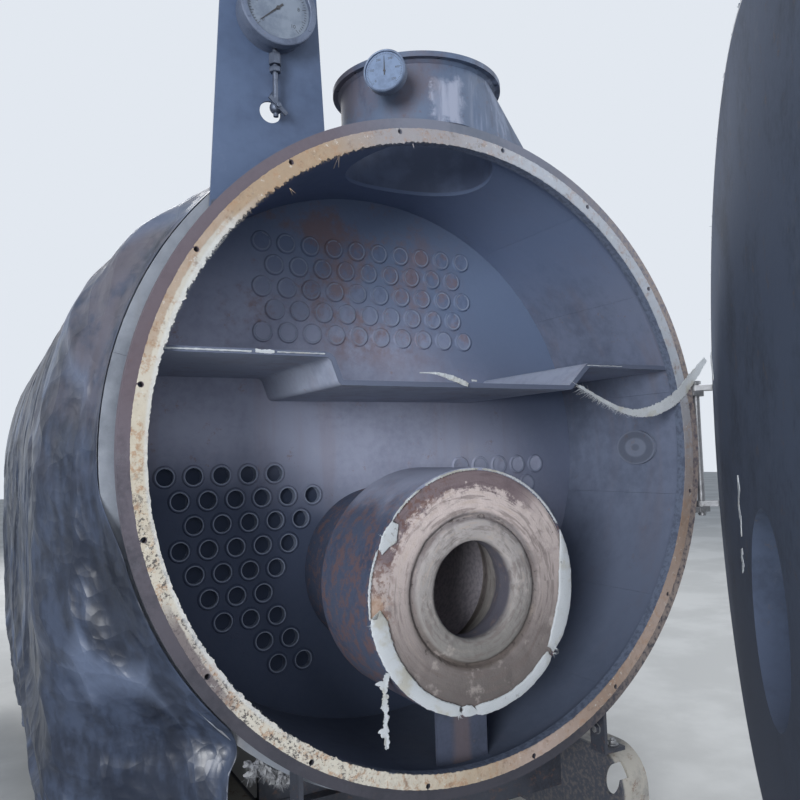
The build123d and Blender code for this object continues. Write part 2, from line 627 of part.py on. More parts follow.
def gauge_cock():
    x, hole_z = GAUGE_CENTRE[0], PLATE_HOLE[1]
    y = PLATE_Y - GAUGE_DEPTH / 2
    top = GAUGE_CENTRE[1] - GAUGE_R + GAUGE_CASE_IN - CLEAR
    stem = upright(x, y, COCK_STEM_R, hole_z - COCK_BODY_R - COCK_STEM_R, top)
    nut = extrude(RegularPolygon(COCK_BODY_R, 6), amount=1.5 * COCK_BODY_R)
    nut = Pos(*at(x, y, top - COCK_NUT_DOWN)) * nut
    body = Pos(*at(x, y, hole_z)) * Sphere(COCK_BODY_R)
    link = block(x - COCK_STEM_R, x + COCK_STEM_R, y, PLATE_Y - CLEAR, hole_z + COCK_LINK_UP[0],
                 hole_z + COCK_LINK_UP[1])
    lever = Pos(*at(x, y - COCK_BODY_R, hole_z)) * Rot(0, COCK_LEVER_TURN, 0) * Box(*COCK_LEVER)
    return stem + nut + body + link + lever


# Skids, cross beams, saddles
def skid(side):
    length = TOTAL_LEN - SKID_FRONT - SKID_BACK
    y0, y1 = FACE_Y + SKID_FRONT, FACE_Y + SKID_FRONT + length
    r = SKID_NOSE_R

    def outline(inset):
        a, b, low, top = y0 + inset, y1 - inset, inset, SKID_TOP - inset
        q = r - inset
        path = [Line((a, low), (a, top - q)), RadiusArc((a, top - q), (a + q, top), q),
                Line((a + q, top), (b - q, top)), RadiusArc((b - q, top), (b, top - q), q),
                Line((b, top - q), (b, low)), Line((b, low), (a, low))]
        return make_face(path)

    beam = extrude(Plane.YZ * outline(0), amount=SKID_W)
    beam -= Pos(SKID_T, 0, 0) * extrude(Plane.YZ * outline(SKID_T), amount=SKID_W)
    for y, lean in ((y0 + TOW_HOLE_IN, -1), (y1 - TOW_HOLE_IN, 1)):
        oval = Pos(y, SKID_TOP - TOW_HOLE_DOWN) * Rot(0, 0, 90 + lean * -TOW_HOLE_TILT)
        oval *= Ellipse(TOW_HOLE_L / 2, TOW_HOLE_W / 2)
        beam -= Pos(-20, 0, 0) * extrude(Plane.YZ * oval, amount=60)
    beam = Pos(SKID_X, 0, 0) * beam
    for y in (-ANCHOR_Y, ANCHOR_Y):
        beam -= Pos(ANCHOR_X, y, 0) * Cylinder(ANCHOR_R, 60)
    return beam if side > 0 else mirror(beam, Plane.YZ)


def cross_beams():
    beams = []
    top = SKID_TOP - AXIS_Z - SKID_GAP
    for y in SADDLE_PLACES + (TOTAL_LEN / 2,):
        y0 = y - BEAM_AHEAD
        beam = block(-SKID_X + CLEAR, SKID_X - CLEAR, y0, y0 + BEAM_W, top - BEAM_H, top)
        beam -= block(-SKID_X, SKID_X, y0 + BEAM_T, y0 + BEAM_W + 1, top - BEAM_H + BEAM_T, top - BEAM_T)
        beams.append(beam)
    return beams


def saddle(y):
    """Plate cut to the shell, standing on a cross beam, with ribs behind it."""
    base = SKID_TOP - AXIS_Z - SKID_GAP + CLEAR
    outline = Polyline((-SADDLE_HALF_X, base), (SADDLE_HALF_X, base), (SADDLE_HALF_X, SADDLE_HIGH_Z),
                       (-SADDLE_HALF_X, SADDLE_HIGH_Z), close=True)
    plate = plate_xz(make_face(outline), y, y + SADDLE_T)
    for x in GUSSET_X:
        plate += block(x - GUSSET_T / 2, x + GUSSET_T / 2, y + SADDLE_T - 1, y + SADDLE_T + GUSSET_LEN,
                       base, SADDLE_HIGH_Z)
    return plate - along_y(SHELL_R + CLEAR, y - 1, y + SADDLE_T + GUSSET_LEN + 1)


def front_brackets():
    """Upright and foot on each skid, bolted through, that carry the front of the shell."""
    skid_top = SKID_TOP - AXIS_Z + CLEAR
    x0, x1 = BRACKET_X, BRACKET_X + BRACKET_T
    y0, y1 = BRACKET_Y, BRACKET_Y + BRACKET_LEN
    middle = (y0 + y1) / 2
    body = block(x0, x1, y0, y1, skid_top, SADDLE_HIGH_Z)
    body += block(x0, x0 + BRACKET_FOOT, y0, y1, skid_top, skid_top + BRACKET_T)
    for reach, width in ((x1 + BRACKET_T, BRACKET_BOLT_R), (x0 + 1, 1.8 * BRACKET_BOLT_R)):
        bolt = Pos(*at(x0 - BRACKET_T, middle, SKID_TOP - AXIS_Z + BRACKET_BOLT_UP)) * Rot(0, 90, 0)
        body += bolt * extrude(RegularPolygon(width, 6), amount=reach - x0 + BRACKET_T)
    body -= along_y(SHELL_R + CLEAR, y0 - 1, y1 + 1)
    return [body, mirror(body, Plane.YZ)]


# Hinge: fixed lugs on the ring, a long pin, and the arms of the door
def hinge_lug_face(reach_x, reach_y0, reach_y1):
    eye = Pos(HINGE_X, HINGE_BACK) * Circle(HINGE_LUG_R)
    web = make_face(Polyline((reach_x, reach_y0), (HINGE_X, HINGE_BACK - HINGE_LUG_R),
                             (HINGE_X, HINGE_BACK + HINGE_LUG_R), (reach_x, reach_y1), close=True))
    return eye + web


def hinge_lugs():
    lugs = []
    for top in (HINGE_HIGH_Z, HINGE_LOW_Z):
        face = hinge_lug_face(RING_IN_R - HINGE_LUG_ROOT, 2, RING_T - 2)
        lug = Pos(*at(0, 0, top - HINGE_LUG_T)) * extrude(face, amount=HINGE_LUG_T)
        lug -= along_y(RING_OUT_R + CLEAR, -DOOR_DEPTH, SMOKEBOX_DEPTH)
        lug -= Pos(*at(HINGE_X, HINGE_BACK, top)) * Cylinder(HINGE_PIN_R + HINGE_FIT, 100)
        lugs.append(lug)
    return lugs


def hinge_pin():
    low = HINGE_LOW_Z - HINGE_LUG_T - 14
    high = HINGE_HIGH_Z + HINGE_WASHER + HINGE_LUG_T + 6
    pin = Pos(*at(HINGE_X, HINGE_BACK, (low + high) / 2)) * Cylinder(HINGE_PIN_R, high - low)
    return pin + Pos(*at(HINGE_X, HINGE_BACK, high + 5)) * Cylinder(HINGE_PIN_R + 7, 10)


def swung(body):
    """Turn a piece of the closed door about the hinge to where the door stands."""
    hinge = Axis(at(HINGE_X, HINGE_BACK, 0), (0, 0, 1))
    return body.rotate(hinge, DOOR_OPEN)


def door_pan():
    seal = -DOOR_GAP
    outer = seal - DOOR_DEPTH
    pan = pipe_y(DOOR_R, DOOR_R - DOOR_WALL_T, outer, seal)
    pan += along_y(DOOR_R, outer, outer + DOOR_PLATE_T)
    pan -= along_y(DOOR_HOLE_R, outer - 1, seal, FURNACE_X, FURNACE_Z)
    return swung(pan)


def door_insulation():
    seal = -DOOR_GAP
    block_y = seal - DOOR_DEPTH + DOOR_PLATE_T + CLEAR
    fill = along_y(DOOR_R - DOOR_WALL_T - CLEAR, block_y, seal)
    fill -= along_y(DOOR_HOLE_R, block_y - 1, seal + 1, FURNACE_X, FURNACE_Z)
    return swung(fill)


def burner_flange():
    outer = -DOOR_GAP - DOOR_DEPTH - CLEAR
    flange = pipe_y(BURNER_FLANGE_R, DOOR_HOLE_R, outer - BURNER_FLANGE_T, outer, FURNACE_X, FURNACE_Z)
    for x, z in ring_places(BURNER_BOLT_COUNT, BURNER_BOLT_PCR, 22.5):
        flange -= along_y(BURNER_BOLT_R, outer - BURNER_FLANGE_T - 1, outer + 1, FURNACE_X + x, FURNACE_Z + z)
    return swung(flange)


def hinge_arms():
    """Arms that reach round the rim of the door and taper along its outer face."""
    arms = []
    seal = -DOOR_GAP
    outer = seal - DOOR_DEPTH
    corner = HINGE_X + HINGE_LUG_R
    eye = Pos(HINGE_X, HINGE_BACK) * Circle(HINGE_LUG_R)
    outline = Polyline((corner, HINGE_BACK), (HINGE_X - HINGE_LUG_R, HINGE_BACK), (HINGE_X - HINGE_LUG_R, seal),
                       (STRAP_END_X, outer), (STRAP_END_X, outer - STRAP_LOW),
                       (HINGE_X - HINGE_LUG_R, outer - STRAP_HIGH), (corner, outer), close=True)
    for lug_top in (HINGE_HIGH_Z, HINGE_LOW_Z):
        z0 = lug_top + HINGE_WASHER
        arm = Pos(*at(0, 0, z0)) * extrude(eye + make_face(outline), amount=HINGE_LUG_T)
        arm -= along_y(DOOR_R + CLEAR, outer - CLEAR, 0)
        arm -= Pos(*at(HINGE_X, HINGE_BACK, z0)) * Cylinder(HINGE_PIN_R + HINGE_FIT, 2 * HINGE_LUG_T + 2)
        arms.append(swung(arm))
    return arms


def door_handle():
    outer = -DOOR_GAP - DOOR_DEPTH - CLEAR
    x = -DOOR_R + GRIP_IN
    x0, x1 = x - GRIP_R, x + GRIP_R
    grip = block(x0, x1, outer - GRIP_OUT, outer - GRIP_OUT + 2 * GRIP_R, -GRIP_HALF_LEN, GRIP_HALF_LEN)
    for z in (-GRIP_HALF_LEN, GRIP_HALF_LEN - 2 * GRIP_R):
        grip += block(x0, x1, outer - GRIP_OUT + GRIP_R, outer, z, z + 2 * GRIP_R)
    return swung(grip)


# Cover sheet: the space that the draped folds fill on the left flank
def cover_sheet():
    corners = []
    for turn, reach in SHEET_INNER + SHEET_OUTER:
        t = math.radians(turn)
        corners.append(((JACKET_R + reach) * math.cos(t), (JACKET_R + reach) * math.sin(t)))
    face = make_face(Polyline(*corners, close=True)) - Circle(JACKET_R + BAND_T + CLEAR)
    return plate_xz(face, SHEET_FRONT, SHEET_BACK)


# Torn pieces of rope gasket
def rope_piece(name, route, radius):
    points = [Vector(*at(*p)) for p in route]
    radii = []
    for a, b, c in zip(points, points[1:], points[2:]):
        turn = (b - a).get_angle(c - b)
        shorter = min((b - a).length, (c - b).length)
        radii.append(0.45 * shorter / math.tan(math.radians(turn / 2)))
    path = FilletPolyline(*points, radius=radii)
    start = Plane(origin=path @ 0, z_dir=path % 0)
    body = sweep(start * Circle(radius), path=path)
    ratio = body.volume / (math.pi * radius ** 2 * path.length)
    print(name, "radii", [round(r) for r in radii])
    print("length", round(path.length), "volume ratio", round(ratio, 3))
    return body


PARTS = {
    "front_ring": front_ring,
    "ring_gasket": ring_gasket,
    "smokebox_shell": smokebox_shell,
    "handhole_plate": handhole,
    "handhole_yoke": handhole_yoke,
    "smokebox_baffle": baffle,
    "front_tube_sheet": lambda: tube_sheet(SMOKEBOX_DEPTH, SHELL_IN_R - 2 - CLEAR),
    "tubes_left": lambda: tubes(second_pass(-1)),
    "tubes_right": lambda: tubes(second_pass(1)),
    "tubes_top": lambda: tubes(third_pass()),
    "furnace_tube": furnace_tube,
    "throat_drum": throat_drum,
    "throat_refractory": throat_refractory,
    "throat_rope": throat_rope,
    "throat_support": throat_support,
    "boiler_shell": boiler_shell,
    "rear_tube_sheet": lambda: tube_sheet(SMOKEBOX_DEPTH + SHEET_T + PRESSURE_LEN, SHELL_IN_R - 2 - CLEAR),
    "rear_chamber_shell": rear_chamber,
    "rear_cover": rear_cover,
    "rear_port_cover": rear_port_cover,
    "jacket": jacket,
    "jacket_bands": jacket_bands,
    "top_nozzles": top_nozzles,
    "flue_neck": flue_neck,
    "flue_flange": flue_flange,
    "flue_thermometer": flue_thermometer,
    "gauge_plate": gauge_plate,
    "pressure_gauge": pressure_gauge,
    "gauge_cock": gauge_cock,
    "skid_left": lambda: skid(-1),
    "skid_right": lambda: skid(1),
    "cross_beams": cross_beams,
    "saddle_front": lambda: saddle(SADDLE_PLACES[0]),
    "saddle_rear": lambda: saddle(SADDLE_PLACES[1]),
    "front_brackets": front_brackets,
    "hinge_lugs": hinge_lugs,
    "hinge_pin": hinge_pin,
    "door_pan": door_pan,
    "door_insulation": door_insulation,
    "burner_flange": burner_flange,
    "hinge_arms": hinge_arms,
    "door_handle": door_handle,
    "cover_sheet": cover_sheet,
    "torn_rope": lambda: rope_piece("torn rope", TORN_ROUTE, ROPE_R),
    "torn_strip": lambda: rope_piece("torn strip", STRIP_ROUTE, STRIP_R),
}

os.makedirs("parts", exist_ok=True)
for name, make in PARTS.items():
    made = make()
    if isinstance(made, list):
        made = Compound(children=[solid for piece in made for solid in piece.solids()])
    export_step(made, os.path.join("parts", name + ".step"))
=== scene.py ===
import bpy
import bmesh
import math
import random
from mathutils import Matrix, Vector, noise


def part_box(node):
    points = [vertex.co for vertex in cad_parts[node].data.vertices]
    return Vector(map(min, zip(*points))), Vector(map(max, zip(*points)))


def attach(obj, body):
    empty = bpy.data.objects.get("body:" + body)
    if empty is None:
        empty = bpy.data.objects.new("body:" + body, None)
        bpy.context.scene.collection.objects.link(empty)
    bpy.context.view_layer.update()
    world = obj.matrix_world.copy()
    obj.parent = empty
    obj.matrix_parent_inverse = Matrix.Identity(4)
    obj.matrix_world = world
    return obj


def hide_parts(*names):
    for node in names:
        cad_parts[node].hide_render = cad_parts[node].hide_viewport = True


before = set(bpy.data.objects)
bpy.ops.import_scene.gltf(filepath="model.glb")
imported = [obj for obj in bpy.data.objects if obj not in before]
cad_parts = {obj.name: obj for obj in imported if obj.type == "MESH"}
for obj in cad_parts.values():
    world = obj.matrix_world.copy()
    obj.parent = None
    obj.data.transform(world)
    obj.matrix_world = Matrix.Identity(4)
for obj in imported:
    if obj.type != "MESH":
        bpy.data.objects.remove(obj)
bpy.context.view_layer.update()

# Camera where the photograph was taken: low, in front and to the left of the open end
EYE = (-1.2253, -3.5021, 1.2554)
YAW, PITCH, ROLL = 0.50368, 0.070975, -0.028943
ahead = Vector((math.sin(YAW) * math.cos(PITCH), math.cos(YAW) * math.cos(PITCH), math.sin(PITCH)))
level = Vector((math.cos(YAW), -math.sin(YAW), 0.0))
upward = level.cross(ahead)
right = level * math.cos(ROLL) + upward * math.sin(ROLL)
up = upward * math.cos(ROLL) - level * math.sin(ROLL)
lens = bpy.data.cameras.new("camera")
lens.lens = 34.727
lens.sensor_width = 36.0
camera = bpy.data.objects.new("camera", lens)
bpy.context.collection.objects.link(camera)
camera.matrix_world = Matrix.Translation(EYE) @ Matrix((right, up, -ahead)).transposed().to_4x4()
bpy.context.scene.camera = camera


# Torn gasket of the door: a flat woven glass-fibre tape that came off with the door.
# It hangs from the ring across the mouth of the smokebox, frayed where it tore.
AXIS_Z = 1.270
FACE_Y = -1.668


def at(x, y, z):
    return Vector((x, FACE_Y + y, AXIS_Z + z))


def tint(red, green, blue):
    """Colour as it is seen on a screen, to the linear colour of a shader."""
    return tuple(((c / 255 + 0.055) / 1.055) ** 2.4 if c > 10 else c / 3295
                 for c in (red, green, blue)) + (1.0,)


class Tone:
    """Output of a shader node; sums on it are written as plain expressions."""
    def __init__(self, paint, socket):
        self.paint = paint
        self.socket = socket

    def sum(self, operation, *values):
        return self.paint.node("ShaderNodeMath", {"operation": operation}, dict(enumerate(values)))

    def __add__(self, other):
        return self.sum("ADD", self, other)

    def __sub__(self, other):
        return self.sum("SUBTRACT", self, other)

    def __rsub__(self, other):
        return self.sum("SUBTRACT", other, self)

    def __mul__(self, other):
        return self.sum("MULTIPLY", self, other)

    def __pow__(self, other):
        return self.sum("POWER", self, other)

    __radd__ = __add__
    __rmul__ = __mul__

    def between(self, low, high):
        """0 below low, 1 above high, smooth between."""
        return self.paint.node("ShaderNodeMapRange", {"interpolation_type": "SMOOTHSTEP"},
                               {"Value": self, "From Min": low, "From Max": high})

    def below(self, low, high):
        """1 below low, 0 above high, smooth between."""
        return 1.0 - self.between(low, high)

    def within(self, rise, full, fall, gone):
        """1 from full to fall, 0 before rise and past gone."""
        return self.between(rise, full) * self.below(fall, gone)


class Paint:
    """A material with one shader; node() adds any node to it."""
    def __init__(self, name, rough=0.6, metal=0.0):
        self.material = bpy.data.materials.new(name)
        self.material.use_nodes = True
        self.tree = self.material.node_tree
        self.shader = self.tree.nodes["Principled BSDF"]
        self.shader.inputs["Roughness"].default_value = rough
        self.shader.inputs["Metallic"].default_value = metal
        self.place = self.node("ShaderNodeTexCoord", out="Object")

    def node(self, kind, settings=None, inputs=None, out=0):
        made = self.tree.nodes.new(kind)
        for key, value in (settings or {}).items():
            if key == "stops":
                while len(made.color_ramp.elements) < len(value):
                    made.color_ramp.elements.new(1.0)
                for element, (spot, colour) in zip(made.color_ramp.elements, value):
                    element.position = spot
                    element.color = colour
            else:
                setattr(made, key, value)
        for key, value in (inputs or {}).items():
            self.feed(made.inputs[key], value)
        return Tone(self, made.outputs[out])

    def feed(self, socket, value):
        if isinstance(value, Tone):
            self.tree.links.new(value.socket, socket)
        else:
            socket.default_value = value

    def stretched(self, x, y, z, shift=(0, 0, 0)):
        return self.node("ShaderNodeMapping", None,
                         {"Vector": self.place, "Scale": (x, y, z), "Location": shift})

    def noise(self, scale, detail=5.0, rough=0.55, place=None):
        return self.node("ShaderNodeTexNoise", None, {"Vector": place or self.place, "Scale": scale,
                                                      "Detail": detail, "Roughness": rough})

    def mix(self, a, b, mask):
        return self.node("ShaderNodeMix", {"data_type": "RGBA"}, {0: mask, 6: a, 7: b}, out=2)

    def axis(self, name):
        return self.node("ShaderNodeSeparateXYZ", None, {0: self.place}, out=name)

    def turn(self, x, z):
        """Turn from +X about the line through x and z from the shell axis, 0 to 1 for a whole turn."""
        angle = self.node("ShaderNodeMath", {"operation": "ARCTAN2"},
                          {0: self.axis("Z") - (AXIS_Z + z), 1: self.axis("X") - x})
        return self.node("ShaderNodeMath", {"operation": "FRACT"}, {0: angle * (0.5 / math.pi) + 1.0})

    def reach(self, x, other, name="Z"):
        """Distance from a line along Y, or along Z where the other axis named is Y."""
        a, b = self.axis("X") - x, self.axis(name) - other
        return (a * a + b * b) ** 0.5

    def coat(self, colour, mask):
        """Lay another colour over the present one."""
        self.colour = self.mix(self.colour, tint(*colour), mask)

    def done(self, colour, rough=None, height=None, strength=0.5, distance=0.002):
        self.feed(self.shader.inputs["Base Color"], colour)
        if rough is not None:
            self.feed(self.shader.inputs["Roughness"], rough)
        if height is not None:
            bump = self.node("ShaderNodeBump", None,
                             {"Height": height, "Strength": strength, "Distance": distance}, out="Normal")
            self.feed(self.shader.inputs["Normal"], bump)
        return self.material


def woven_tape():
    p = Paint("glass_fibre_tape", 0.95)
    weave = p.node("ShaderNodeTexWave", {"wave_type": "BANDS", "bands_direction": "DIAGONAL"},
                   {"Vector": p.place, "Scale": 210.0, "Distortion": 2.0, "Detail": 2.0})
    cross = p.node("ShaderNodeTexWave", {"wave_type": "BANDS", "bands_direction": "Z"},
                   {"Vector": p.place, "Scale": 260.0, "Distortion": 2.0, "Detail": 2.0})
    stain = p.noise(14, 6, 0.6)
    p.colour = p.mix(tint(216, 222, 228), tint(196, 195, 186), stain.between(0.48, 0.68))
    p.coat((150, 154, 158), (weave * cross).between(0.02, 0.30) * 0.35)
    p.coat((104, 102, 102), p.noise(45, 6, 0.7).between(0.62, 0.72) * 0.6)
    return p.done(p.colour, None, weave * 0.6 + cross * 0.6 + p.noise(300, 3) * 0.5, 0.8, 0.0015)


TAPE = woven_tape()


def join(bm, part, place=Matrix()):
    """Add a part that was made at the origin to a piece, in its place."""
    bmesh.ops.remove_doubles(part, verts=part.verts, dist=1e-6)
    bmesh.ops.recalc_face_normals(part, faces=part.faces)
    bmesh.ops.transform(part, matrix=place, verts=part.verts)
    mesh = bpy.data.meshes.new("part")
    part.to_mesh(mesh)
    part.free()
    bm.from_mesh(mesh)
    bpy.data.meshes.remove(mesh)


def facing(centre, direction):
    """Place whose Z points that way."""
    return Matrix.Translation(centre) @ Vector(direction).to_track_quat("Z", "Y").to_matrix().to_4x4()


def route_line(name, places):
    """Points of the smooth line through a cord's route."""
    curve = bpy.data.curves.new(name, "CURVE")
    curve.dimensions = "3D"
    spline = curve.splines.new("NURBS")
    spline.points.add(len(places) - 1)
    for point, spot in zip(spline.points, places):
        point.co = (*spot, 1.0)
    spline.order_u = 3
    spline.use_endpoint_u = True
    spline.resolution_u = 16
    line = bpy.data.objects.new(name, curve)
    mesh = bpy.data.meshes.new_from_object(line)
    spots = [v.co.copy() for v in mesh.vertices]
    bpy.data.objects.remove(line)
    bpy.data.curves.remove(curve)
    bpy.data.meshes.remove(mesh)
    return spots


def thicken(part, way):
    """Sheet of faces drawn out along one way into a closed piece."""
    made = bmesh.ops.extrude_face_region(part, geom=part.faces[:])
    bmesh.ops.translate(part, vec=way, verts=[g for g in made["geom"] if isinstance(g, bmesh.types.BMVert)])


def flat_tape(line, width, thick, seed, ragged=0.12, front=Vector((0, -1, 0))):
    """Tape laid along a line, broad side to the front, edges uneven; width is a function of the way along."""
    part = bmesh.new()
    bmesh.ops.create_grid(part, x_segments=len(line) - 1, y_segments=6, size=0.5)
    for v in part.verts:
        t, across = v.co.x + 0.5, v.co.y * 2
        i = min(int(round(t * (len(line) - 1))), len(line) - 1)
        run = (line[min(i + 1, len(line) - 1)] - line[max(i - 1, 0)]).normalized()
        side = run.cross(front).normalized()
        spot = Vector((i * 0.31, across * 1.3 + seed, seed * 2.1))
        half = width(t) / 2 * max(0.25, 1 + ragged * noise.noise(spot * 2.4) * abs(across) * 2)
        lift = (noise.noise(spot) * 0.35 + noise.noise(spot * 0.4) * 0.5) * thick
        v.co = line[i] + side * across * half + front * (lift + thick / 2)
    thicken(part, front * -thick)
    return part


def fibres(bm, strands, seed, radius=0.0006):
    """Loose broken strands: thin tapered sticks, each from its start roughly along its way."""
    pick = random.Random(seed)
    part = bmesh.new()
    for start, way, reach in strands:
        way = Vector(way)
        way += Vector([pick.uniform(-0.7, 0.7) for _ in range(3)]) * way.length
        length = reach * pick.uniform(0.35, 1.0)
        bmesh.ops.create_cone(part, cap_ends=True, segments=4, radius1=radius * pick.uniform(0.6, 1.3),
                              radius2=radius * 0.2, depth=length,
                              matrix=facing(start, way) @ Matrix.Translation((0, 0, length / 2)))
    join(bm, part)


def piece(name, bm, material, sharp=32, body="boiler"):
    """Object from a finished mesh; it rides on a body and takes its finish from a slot."""
    mesh = bpy.data.meshes.new(name)
    bm.to_mesh(mesh)
    bm.free()
    mesh.shade_smooth()
    mesh.set_sharp_from_angle(angle=math.radians(sharp))
    mesh.materials.append(material)
    obj = bpy.data.objects.new(name, mesh)
    bpy.context.collection.objects.link(obj)
    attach(obj, body)
    return obj


def level_at(spots, t):
    """Value at t on straight lines between (place, value) spots."""
    for (a, u), (b, v) in zip(spots, spots[1:]):
        if t <= b:
            return u + (v - u) * (t - a) / (b - a)
    return spots[-1][1]


TAPE_THICK = 0.004
TORN_ROUTE = [(1.000, -0.007, 0.286), (0.968, -0.0086, 0.259), (0.932, -0.0086, 0.226),
              (0.895, -0.0084, 0.190), (0.852, -0.0076, 0.155), (0.798, -0.002, 0.124),
              (0.738, 0.008, 0.103), (0.676, 0.016, 0.099), (0.616, 0.021, 0.112), (0.560, 0.022, 0.133),
              (0.504, 0.022, 0.160), (0.446, 0.022, 0.186)]
torn_line = route_line("torn_line", [at(*p) for p in TORN_ROUTE])


def torn_width(t):
    return level_at([(0.0, 0.018), (0.12, 0.031), (0.30, 0.037), (0.50, 0.036), (0.66, 0.022),
                     (0.80, 0.014), (1.0, 0.008)], t)


bm = bmesh.new()
join(bm, flat_tape(torn_line, torn_width, TAPE_THICK, seed=3, ragged=0.19))
torn = piece("torn_gasket_tape", bm, TAPE)
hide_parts("torn_rope")
bm = bmesh.new()
fibres(bm, [(torn_line[-1 - i % 9], (-1, 0, 0.15), 0.040) for i in range(36)], 5)
fibres(bm, [(spot, (-0.6, 0.2, -0.5), 0.026) for spot in torn_line if spot.y > FACE_Y + 0.004
            for _ in range(3)], 6)
fray = piece("torn_gasket_fray", bm, TAPE)

# Strip of the rope seal of the burner throat, hanging down from its left side.
# Torn loose when the burner was drawn; a thin strand with ragged bits on it.
STRIP_ROUTE = [(-0.279, -0.0075, -0.581), (-0.288, -0.0075, -0.612), (-0.291, -0.007, -0.650),
               (-0.286, -0.0065, -0.692), (-0.290, -0.006, -0.735), (-0.285, -0.006, -0.772)]
strip_line = route_line("strip_line", [at(*p) for p in STRIP_ROUTE])


def shake(part, amount, scale, seed=0):
    """Move each point in or out by noise, as on a cast or torn surface."""
    part.normal_update()
    moves = []
    for v in part.verts:
        spot = v.co * scale + Vector((seed * 7.3, 1.7, 4.1))
        moves.append(noise.noise(spot) * 0.7 + noise.noise(spot * 2.7) * 0.3)
    for v, move in zip(part.verts, moves):
        v.co += v.normal * move * amount


def strip_width(t):
    return 0.012 + 0.004 * math.sin(t * 17.0) + 0.003 * math.sin(t * 41.0)


bm = bmesh.new()
join(bm, flat_tape(strip_line, strip_width, TAPE_THICK, seed=8, ragged=0.5))
strip = piece("torn_seal_strip", bm, TAPE)
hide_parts("torn_strip")
bm = bmesh.new()
for t, reach, side in ((0.10, 0.028, -1), (0.14, 0.016, -1), (0.30, 0.012, 1), (0.62, 0.010, 1),
                       (0.80, 0.020, -1), (0.86, 0.014, -1), (0.93, 0.010, 1)):
    spot = strip_line[int(t * (len(strip_line) - 1))]
    tuft = bmesh.new()
    bmesh.ops.create_icosphere(tuft, subdivisions=3, radius=1.0)
    shake(tuft, 0.5, 1.6, t * 10)
    join(bm, tuft, Matrix.Translation(spot + Vector((side * reach * 0.5, 0, -0.003)))
         @ Matrix.Diagonal((reach * 0.55, 0.0018, 0.006, 1)))
tufts = piece("torn_seal_tufts", bm, TAPE)

# Front ring: rolled flat bar with a turned face, drilled for the door bolts.
# Bare steel gone purple-brown with rust, its rim a little lighter.


def repaint(material, *nodes):
    """Give CAD nodes another finish."""
    for node in nodes:
        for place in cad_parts[node].material_slots:
            place.material = material


def stained(p, base, dark, pale, rust, rusty=0.55, scale=3.0, streaks=0.0):
    """Tones of plate that has stood outside: cloudy, grimy, chalky in patches, with rust spots and runs."""
    broad = p.noise(scale, 6, 0.6)
    fine = p.noise(scale * 14, 8, 0.65)
    speck = p.noise(scale * 70, 4, 0.6)
    p.colour = p.mix(base, dark, (broad * 0.7 + fine * 0.3).between(0.45, 0.66))
    p.colour = p.mix(p.colour, pale,
                     (p.noise(scale * 2.3, 7, 0.7, p.stretched(1, 1, 1, (3, 7, 5))) * 0.8
                      + speck * 0.2).between(0.56, 0.74) * 0.55)
    if streaks:
        runs = p.noise(scale * 5, 5, 0.6, p.stretched(1, 1, 0.09)).between(0.5, 0.68)
        p.colour = p.mix(p.colour, rust, runs * streaks)
    spots = (p.noise(scale * 6, 9, 0.72, p.stretched(1, 1, 1, (9, 2, 4))) * 0.75 + speck * 0.25)
    p.colour = p.mix(p.colour, rust, spots.between(rusty, rusty + 0.08) * 0.85)
    return fine, fine * 0.6 + speck * 0.4 + spots.between(rusty, rusty + 0.1) * 0.3


def ring_finish():
    p = Paint("rusty_ring_steel", 0.66)
    fine, surface = stained(p, tint(92, 86, 96), tint(60, 57, 66), tint(118, 120, 130), tint(96, 74, 66),
                            0.57, 5)
    # Darker towards the bottom, paler and bluer towards the top.
    high = p.axis("Z").between(AXIS_Z - 0.9, AXIS_Z + 0.9)
    p.colour = p.mix(p.mix(p.colour, tint(40, 43, 52), 0.8), p.colour,
                     p.axis("Z").between(AXIS_Z - 0.82, AXIS_Z + 0.25))
    p.coat((104, 116, 134), high ** 4 * 0.5)
    turn = p.turn(0, 0)
    p.coat((82, 68, 74), turn.within(0.27, 0.33, 0.46, 0.52) * 0.7)
    side = (p.axis("X").between(0.25, 0.85) * p.reach(0, AXIS_Z).between(0.900, 0.915)
            * p.axis("Y").below(-1.667, -1.665))
    p.coat((146, 134, 128), side * fine.between(0.36, 0.56) * 0.8)
    soot = p.mix(tint(96, 106, 126), tint(76, 84, 102), fine.between(0.42, 0.62))
    p.colour = p.mix(soot, p.colour, p.reach(0, AXIS_Z).between(0.8808, 0.8822))
    return p.done(p.colour, 0.55 + fine * 0.25, surface, 0.35, 0.002)


RING_STEEL = ring_finish()
repaint(RING_STEEL, "front_ring")

# Gasket left on the ring: what remains of a compressed fibre band, glued to the face.
# Its outer edge is clean, the inner edge is torn and hangs in tufts at the upper left.
BAND_IN, BAND_OUT, BAND_THICK = 0.882, 0.9185, 0.0026
BOLT_CIRCLE, BOLT_PHASE = 0.909, 12.1
HOLE_R, HOLE_EDGE = 0.0075, 0.0095


def circle(count, radius, phase=0.0):
    """Evenly spaced places round a centre, from a phase in degrees."""
    turns = [math.radians(phase + 360.0 * i / count) for i in range(count)]
    return [(radius * math.cos(t), radius * math.sin(t)) for t in turns]


